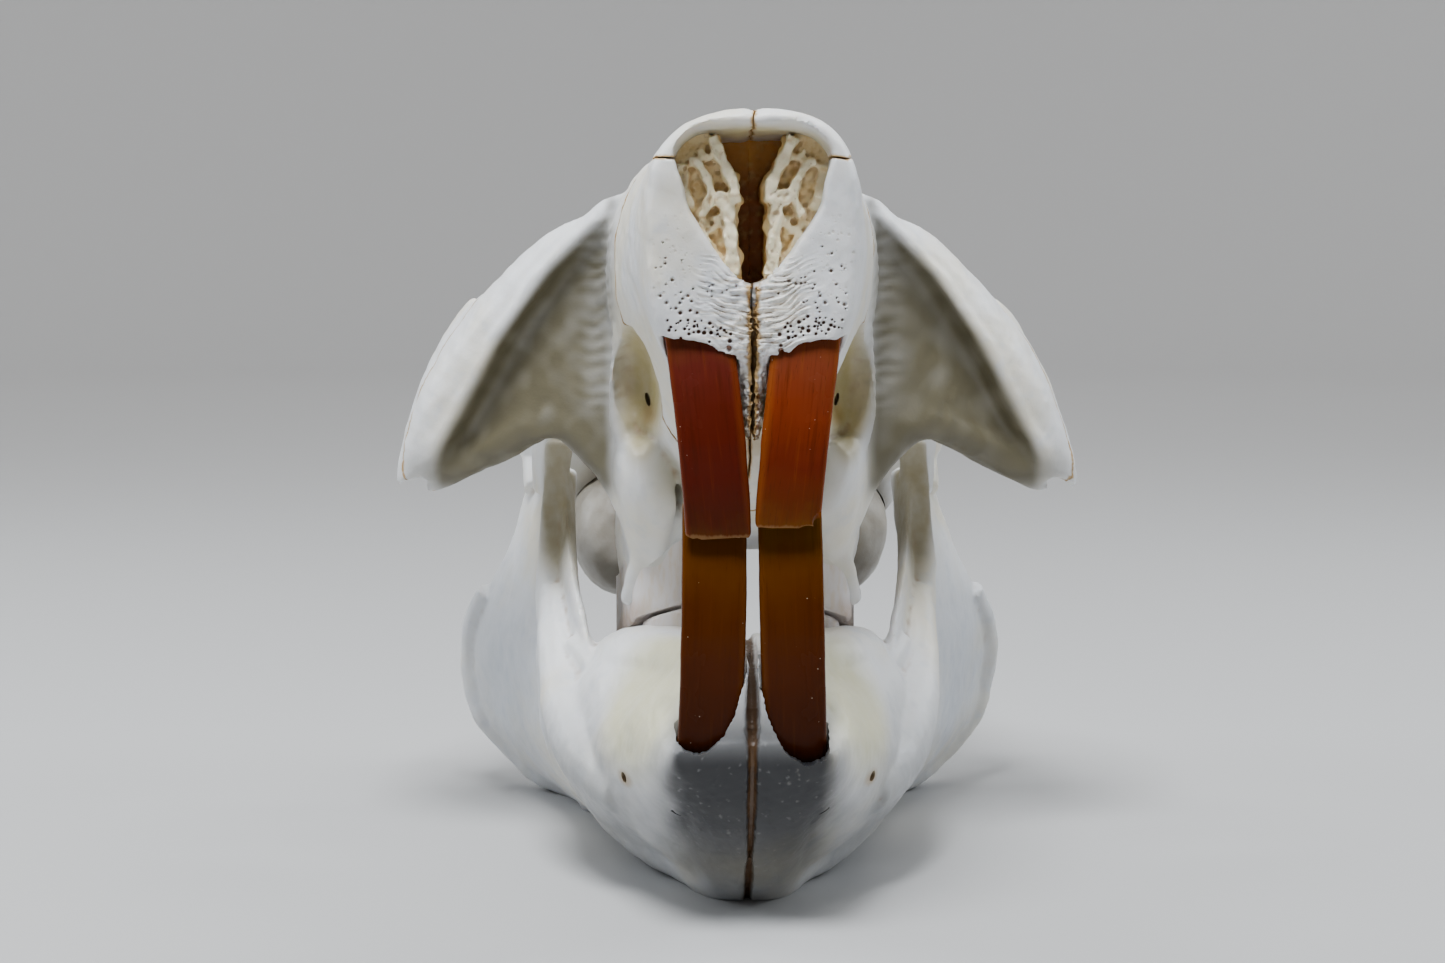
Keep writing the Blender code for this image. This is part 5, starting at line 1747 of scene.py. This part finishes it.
    def finish(self) -> BoneFinish:
        """The finish of the upper bones."""
        return BoneFinish(
            "cranium_bone",
            # Painted shade at the lower tips of the cheek plates and arches.
            zones=(Zone((38.0, 56.0, 55.0), (14.0, 8.0, 6.0), (0.27, 0.25, 0.20), 0.85, 0.7),
                   # Painted shade, olive, in the recess of the infraorbital opening.
                   Zone((14.4, 34.0, 67.0), (4.4, 12.0, 12.0), (0.42, 0.345, 0.14), 0.9, 0.45),
                   Zone((12.8, 38.4, 63.6), (2.0, 5.0, 2.6), (0.40, 0.22, 0.04), 0.4, 0.8),
                   # Painted shade beside the incisor, where the front of the maxilla turns inwards.
                   Zone((10.0, 40.0, 56.5), (6.5, 9.0, 8.5), (0.44, 0.42, 0.32), 0.85, 0.7),
                   # Painted shade under the lip of the nasal bones.
                   Zone((0.0, 5.0, 98.4), (11.4, 9.0, 3.2), (0.60, 0.52, 0.27), 0.95, 0.4),
                   # Inside the nose: ochre, partly the inner bone's own tint and partly painted shade, and
                   # further in dark brown painted shade.
                   Zone((0.0, 14.0, 89.6), (10.6, 11.4, 10.8), (0.58, 0.40, 0.17), 0.95, 0.35),
                   Zone((0.0, 30.0, 89.0), (10.0, 16.0, 9.0), (0.24, 0.09, 0.02), 1.0, 0.5),
                   Zone((0.0, 2.0, 71.0), (0.75, 7.0, 11.6), (0.40, 0.24, 0.07), 0.9, 0.5),
                   Zone((0.0, 110.0, 46.0), (22.0, 26.0, 12.0), (0.74, 0.67, 0.50), 0.5),
                   # Painted shade on the ear capsule, under the skull.
                   Zone((17.4, 102.0, 40.6), (12.0, 15.0, 15.0), (0.26, 0.225, 0.17), 0.85, 0.25)),
            # Patches of pores, painted as dark dots of shade inside tiny holes.
            pores=(Zone((9.0, 1.0, 84.0), (6.0, 8.0, 8.5), (0.34, 0.22, 0.10), 0.4),
                   Zone((1.4, 3.0, 72.0), (2.6, 5.0, 11.0), (0.42, 0.28, 0.12), 0.8)),
            wrinkles=Zone((0.0, 1.0, 77.6), (9.5, 7.0, 8.5), (0.62, 0.50, 0.32), 1.0),
            # Olive colour of the painted shade on the cheek plate.
            shade=(0.126, 0.111, 0.068))

    def dress(self) -> None:
        """Build, paint and hand over the upper bones."""
        material = self.finish().material()
        for name, bone in self.build().items():
            part, _, word = name.partition("_")
            bone.finish(f"{part}_bone_{word}" if word else f"{part}_bone", material, BONE_SLOT, name)


@dataclass
class EarCapsule:
    """Swollen capsule under the ear."""

    side: Side

    def form(self, grow: float = 0.0) -> Shell:
        """The capsule, with a clearance all round for the cut in the braincase."""
        radii = (8.6 + grow, 11.6 + grow, 10.8 + grow)
        return Shell.ball((17.4, 102.0, 40.6), radii, (12, 12, 16), 96).on(self.side)

    def dress(self, material: bpy.types.Material) -> None:
        """Build, paint and hand over the capsule.

        Args:
            material: the bone finish.
        """
        body = Body.from_shell("capsule", self.form())
        body.push(lambda points: 0.14 * swell(points, 6.0, 31) + 0.05 * swell(points, 1.8, 32) - 0.14)
        body.finish(f"ear_capsule_{self.side.word}", material, BONE_SLOT, f"bulla_{self.side.word}")


@dataclass
class Mandible:
    """One half of the lower jaw.

    A row of the body is y, top, bottom, the inner side and the outer side at three heights. The other tables
    are as in the upper skull.
    """

    side: Side
    body: Table = (
        (2.6, 24.8, 21.6, -9.0, 9.2, 9.6, 9.0),
        (3.8, 25.8, 18.6, -9.6, 9.8, 10.4, 9.4),
        (6.4, 29.0, 14.2, -10.4, 10.8, 12.0, 10.4),
        (10.0, 33.4, 9.8, -11.0, 11.6, 13.8, 11.2),
        (14.0, 36.2, 5.8, -10.6, 12.2, 15.6, 11.6),
        (18.0, 36.2, 2.0, -9.0, 13.2, 17.2, 11.6),
        (23.0, 35.4, -1.4, -7.0, 14.8, 19.0, 12.4),
        (29.0, 34.4, -0.8, -4.0, 16.8, 21.0, 15.4),
        (36.0, 33.8, 0.2, 0.0, 20.6, 23.2, 20.0),
        (44.0, 33.4, 1.4, 3.0, 23.2, 25.4, 23.6),
        (54.0, 31.0, 2.2, 6.4, 23.6, 27.0, 25.4),
        (64.0, 27.6, 2.2, 9.6, 22.0, 27.8, 26.2),
        (73.0, 24.8, 1.6, 13.0, 22.4, 28.0, 26.2),
        (80.0, 19.0, 1.4, 17.0, 23.6, 27.6, 25.4),
    )
    ramus: Table = (
        ((19.8, 70.0, -1.0), (23.4, 86.0, -1.0), 5.0),
        ((22.0, 63.0, 4.0), (32.0, 90.6, 3.4), 5.0),
        ((23.2, 54.0, 11.5), (39.4, 94.0, 10.4), 4.6),
        ((22.4, 47.0, 19.0), (41.9, 95.6, 18.2), 4.0),
        ((21.4, 44.0, 26.0), (41.8, 94.0, 25.5), 3.6),
        ((23.0, 50.4, 33.0), (39.0, 90.0, 32.0), 3.6),
        ((24.8, 55.8, 40.0), (35.4, 86.4, 39.0), 3.6),
        ((25.6, 60.2, 48.0), (32.8, 87.4, 47.0), 3.6),
        ((26.2, 63.4, 54.0), (31.0, 90.5, 53.0), 4.0),
    )
    coronoid: Table = (
        ((25.8, 61.5, 50.0), (29.6, 82.0, 50.0), 3.6),
        ((27.0, 65.6, 59.0), (30.2, 80.2, 58.0), 3.2),
        ((28.4, 69.8, 67.0), (31.0, 80.4, 66.0), 2.8),
        ((30.0, 75.2, 74.0), (31.2, 81.6, 73.4), 2.2),
    )
    rods: tuple[Table, ...] = (
        ((30.4, 84.0, 49.0, 2.6), (30.2, 88.0, 53.0, 3.0), (29.8, 89.6, 56.0, 3.2)),
        ((26.4, 64.0, 58.0, 2.0), (27.0, 62.6, 46.0, 2.4), (27.0, 61.0, 30.0, 2.8), (26.4, 62.0, 16.0, 3.0),
         (24.6, 66.0, 8.0, 2.6)),
        ((21.6, 74.0, 1.6, 2.4), (23.4, 83.0, 1.4, 2.6), (31.6, 90.0, 4.0, 2.4), (39.2, 94.0, 10.6, 2.2),
         (41.8, 95.4, 18.4, 2.0), (41.8, 93.8, 26.0, 2.0), (39.0, 89.6, 32.4, 1.8)),
        ((9.6, 39.0, 29.4, 3.8), (10.8, 48.0, 27.8, 4.6), (12.6, 58.0, 25.0, 4.6), (14.2, 68.0, 22.4, 4.2),
         (15.4, 75.0, 20.0, 3.2)),
        ((1.1, 4.0, 27.0, 0.9), (1.1, 5.6, 31.6, 0.8), (1.2, 9.0, 34.6, 1.0), (1.6, 14.0, 35.6, 1.4)),
        ((17.6, 42.0, 28.2, 2.2), (20.6, 45.6, 27.2, 2.2), (23.4, 51.0, 30.0, 2.0)),
        ((26.6, 60.0, 36.0, 2.6), (25.8, 52.0, 27.0, 3.4), (23.4, 42.0, 20.0, 4.4), (19.6, 32.0, 16.0, 4.6),
         (15.6, 24.0, 14.0, 3.6)),
    )
    lower_rim: tuple[tuple[float, float], ...] = (
        (9.8, 60.0), (9.8, 40.0), (9.8, 31.0), (9.75, 27.8), (9.5, 26.2), (9.0, 25.2), (8.0, 24.6),
        (6.7, 24.4), (5.3, 25.0), (4.0, 26.2), (2.9, 28.0), (2.1, 30.0), (1.4, 32.4), (0.9, 34.6),
        (0.75, 37.0), (0.75, 60.0),
    )
    voxel: float = 0.45

    def trunk(self) -> Shell:
        """Loft of the body, flat along the midline in front."""
        rings = []
        for y, top, bottom, inner, upper, middle, lower in smooth_rows(self.body, 6):

            def edges(up: float) -> tuple[float, float]:
                """Inner and outer end at a height."""
                return inner, level_width(up, upper, middle, lower)

            rings.append(section(y, top, bottom, (3.2, 2.4), edges))
        return Shell.loft(rings)

    def relief(self, points: np.ndarray) -> np.ndarray:
        """Swells over the bone, and small pimples on the chin."""
        x, y, z = np.abs(points[:, 0]), points[:, 1], points[:, 2]
        total = 0.16 * swell(points, 12.0, 41) + 0.06 * swell(points, 4.0, 42) + 0.03 * swell(points, 1.6, 43)
        chin = fade(x, 9.0, 6.0) * fade(z, 27.0, 24.0) * fade(z, 8.0, 14.0) * fade(y, 16.0, 11.0)
        return total + 0.07 * chin * fade(swell(points, 1.0, 44), 1.0, 1.8) - 0.9 * self.groove(points)

    @staticmethod
    def groove(points: np.ndarray) -> np.ndarray:
        """Uneven groove down the middle of the chin, from 0 outside to 1."""
        x, y, z = np.abs(points[:, 0]), points[:, 1], points[:, 2]
        wide = 0.44 + 0.3 * fade(z, 17.0, 24.0) + 0.12 * np.sin(z * 0.5) + 0.12 * wander(z, x * 0.0, 4.0)
        return np.exp(-(x / np.maximum(wide, 0.14)) ** 4) * fade(y, 30.0, 22.0)

    @staticmethod
    def dark(points: np.ndarray) -> np.ndarray:
        """Grey chin where the tooth roots lie close under thin bone, deepened with painted shade, from 0 outside
        to 1.
        """
        x, y, z = np.abs(points[:, 0]), points[:, 1], points[:, 2]
        half = np.interp(z, (0.0, 6.0, 12.0, 20.0, 25.0), (9.0, 13.6, 15.2, 14.2, 12.6))
        half = half + 0.5 * swell(points, 6.0, 45)
        edge = np.interp(z, (4.0, 12.0, 20.0, 25.0), (8.0, 7.4, 5.4, 3.4))
        down = np.interp(z, (0.0, 4.0, 9.0, 13.0, 17.0), (0.42, 0.68, 0.88, 0.97, 1.0))
        specks = 1 - 0.12 * fade(swell(points, 0.9, 48), 1.3, 1.9)
        return fade(x, half, half - edge) * fade(z, 33.0, 21.5) * down * specks * fade(y, 34.0, 20.0)

    def build(self) -> Body:
        """Melt and carve the half jaw."""
        s = self.side.value
        tooth = Incisor.make(Level.LOWER, self.side)
        sheath = replace(tooth, tip=-4.0, x=(tooth.x[0] - 0.5, tooth.x[1] - 0.5)).sweep(40, 48, 0.6)
        forms = [self.trunk(), Shell.sheet(self.ramus, -2.2), Shell.sheet(self.coronoid, 0.6),
                 Shell.ball((29.8, 89.6, 56.4), (4.4, 4.8, 3.8), (0, 0, 12))]
        forms += [Shell.tube(path) for path in self.rods]
        jaw = Body.from_shell("jaw", Shell.join([form.on(self.side) for form in forms] + [sheath]))
        jaw.melt(self.voxel, 6)
        jaw.refine(lambda points: (points[:, 1] < 12.0) & (np.abs(points[:, 0]) < 13.0), 1)
        jaw.push(self.relief)
        rim = ragged(self.lower_rim, 0.15, 5.0 + s) - (0.0, 1.7 + 0.7 * s)
        beyond = SutureWall(0, lambda y, z: np.full_like(y, -30.0 * s), (-12.0, 100.0), (-6.0, 60.0), gap=60.0,
                            rough=0.12, seed=12.0)
        below = Shell.side_block(((-20.0, -20.0), (140.0, -20.0), (140.0, 0.0), (-20.0, 0.0)), -80.0, 80.0)
        hole = ((19.0, 13.4, 17.8, 0.95), (16.6, 16.4, 17.6, 0.8), (15.2, 19.0, 17.4, 0.5))
        for cutter in (tooth.sweep(60, 48, 0.2, 1.0), Shell.front_block(rim, -6.0, 6.6).on(self.side),
                       beyond.shell(), below, Shell.tube(hole, 18, 3).on(self.side)):
            jaw.carve(cutter)
        name = f"mandible_{self.side.word}"
        half = jaw.split({name: (s * 20.0, 50.0, 10.0)})[name]
        points = half.points()
        # The shade tone is grey bone over the roots, deepened with painted shade.
        return half.tone("seam", self.groove(points)).tone("shade", self.dark(points))

    def finish(self) -> BoneFinish:
        """The finish of the lower jaw."""
        return BoneFinish(
            f"mandible_bone_{self.side.word}",
            # Painted shade: bluish grey on the angle and the ramus, and grey low on the body.
            zones=(Zone((36.0, 78.0, 20.0), (18.0, 34.0, 26.0), (0.46, 0.50, 0.56), 0.75, 0.9),
                   Zone((22.0, 30.0, 10.0), (24.0, 38.0, 22.0), (0.34, 0.35, 0.36), 0.9, 0.8),
                   Zone((14.0, 18.0, 31.0), (11.0, 20.0, 16.0), (0.62, 0.60, 0.41), 0.95, 0.45),
                   # Painted shade, olive brown, on the front edge of the coronoid process.
                   Zone((26.0, 62.0, 50.0), (4.6, 10.0, 17.0), (0.28, 0.24, 0.14), 0.9, 0.5),
                   Zone((15.8, 17.5, 17.6), (1.7, 4.5, 1.7), (0.40, 0.31, 0.19), 0.8)),
            seam=(0.085, 0.040, 0.012))

    def dress(self) -> None:
        """Build, paint and hand over the half jaw."""
        body = self.build()
        node = f"mandible_{self.side.word}"
        body.finish(f"{node}_bone", self.finish().material(), BONE_SLOT, node)


# Studio


@dataclass(frozen=True)
class Lamp:
    """Soft area light."""

    name: str
    place: Row
    size: float
    power: float
    colour: Colour = (1.0, 1.0, 1.0)
    target: Row = (0.0, -0.02, 0.055)

    def hang(self) -> None:
        """Add the light, aimed at its target."""
        light = bpy.data.lights.new(self.name, "AREA")
        light.shape, light.size, light.energy, light.color = "DISK", self.size, self.power, self.colour
        lamp = bpy.data.objects.new(self.name, light)
        lamp.location = self.place
        lamp.rotation_euler = (Vector(self.target) - Vector(self.place)).to_track_quat("-Z", "Y").to_euler()
        bpy.context.scene.collection.objects.link(lamp)


@dataclass(frozen=True)
class Studio:
    """Pale floor and wall in one sweep, soft lights and the camera of the photograph."""

    eye: Row = (-11.77, -283.8, 82.64)
    forward: Row = (0.0278, 0.9958, -0.0872)
    lens: float = 58.22
    floor_colour: Colour = (0.43, 0.43, 0.43)
    flat_radius: float = 1.7
    curve_radius: float = 0.9
    wall_top: float = 3.2
    lamps: tuple[Lamp, ...] = (
        Lamp("key", (-0.07, -0.24, 0.62), 0.26, 6.5, (0.94, 0.97, 1.0)),
        Lamp("right_side", (0.52, 0.14, 0.36), 0.26, 1.6, (0.88, 0.94, 1.0)),
        Lamp("left_side", (-0.52, 0.14, 0.36), 0.26, 1.6, (0.88, 0.94, 1.0)),
        Lamp("wall_left", (-1.2, 0.6, 2.2), 0.8, 28.0, (1.0, 1.0, 1.0), (-0.7, 2.6, 0.8)),
        Lamp("wall_right", (1.2, 0.6, 2.2), 0.8, 28.0, (1.0, 1.0, 1.0), (0.7, 2.6, 0.8)),
        Lamp("sky", (0.0, 0.0, 3.0), 2.6, 24.0, (0.97, 0.98, 1.0), (0.0, 0.001, 0.0)),
    )

    def floor(self) -> None:
        """Round floor that curves up into a wall far away on every side."""
        flat, curve = self.flat_radius, self.curve_radius
        path = [(0.0, 0.0), (flat, 0.0)]
        path += [(flat + curve * math.sin(a), curve - curve * math.cos(a))
                 for a in np.linspace(0.1, math.pi / 2, 14)]
        path += [(flat + curve, self.wall_top)]
        turns, count = SECTION_POINTS, len(path)
        points = [(far * math.cos(k * 2 * math.pi / turns), far * math.sin(k * 2 * math.pi / turns), z)
                  for k in range(turns) for far, z in path]
        faces = []
        for k in range(turns):
            here, there = k * count, (k + 1) % turns * count
            faces += [(here + i + 1, there + i + 1, there + i, here + i) for i in range(count - 1)]
        mesh = bpy.data.meshes.new("floor")
        mesh.from_pydata(points, [], faces)
        made = bmesh.new()
        made.from_mesh(mesh)
        bmesh.ops.remove_doubles(made, verts=made.verts, dist=1e-6)
        made.to_mesh(mesh)
        made.free()
        mesh.shade_smooth()
        floor = bpy.data.objects.new("floor", mesh)
        bpy.context.scene.collection.objects.link(floor)
        paint = Paint("floor_paper")
        grain = paint.noise(0.02, 3.0)
        mesh.materials.append(paint.feed(Base_Color=self.floor_colour, Roughness=0.8 + 0.1 * grain))

    def set_up(self) -> None:
        """Floor, world, lights and camera."""
        self.floor()
        world = bpy.data.worlds.new("studio")
        bpy.context.scene.world = world
        world.use_nodes = True
        background = world.node_tree.nodes["Background"]
        background.inputs["Color"].default_value = (0.93, 0.96, 1.0, 1.0)
        background.inputs["Strength"].default_value = 0.12
        for lamp in self.lamps:
            lamp.hang()
        data = bpy.data.cameras.new("camera")
        data.sensor_width, data.lens = 36.0, self.lens
        data.clip_start, data.clip_end = 0.01, 20.0
        camera = bpy.data.objects.new("camera", data)
        camera.location = (Vector(self.eye) + Vector((0.0, FRONT_Y, 0.0))) * MM
        camera.rotation_euler = Vector(self.forward).to_track_quat("-Z", "Y").to_euler()
        bpy.context.scene.collection.objects.link(camera)
        bpy.context.scene.camera = camera


def main() -> None:
    """Build and dress the skull, then set up the studio."""
    cranium = Cranium()
    cranium.dress()
    bone = cranium.finish().material()
    Turbinates().dress()
    for side in Side:
        EarCapsule(side).dress(bone)
        Mandible(side).dress()
        for level in Level:
            Incisor.make(level, side).dress()
            CheekTeeth(level, side).dress()
    Studio().set_up()


if __name__ == "__main__":
    main()
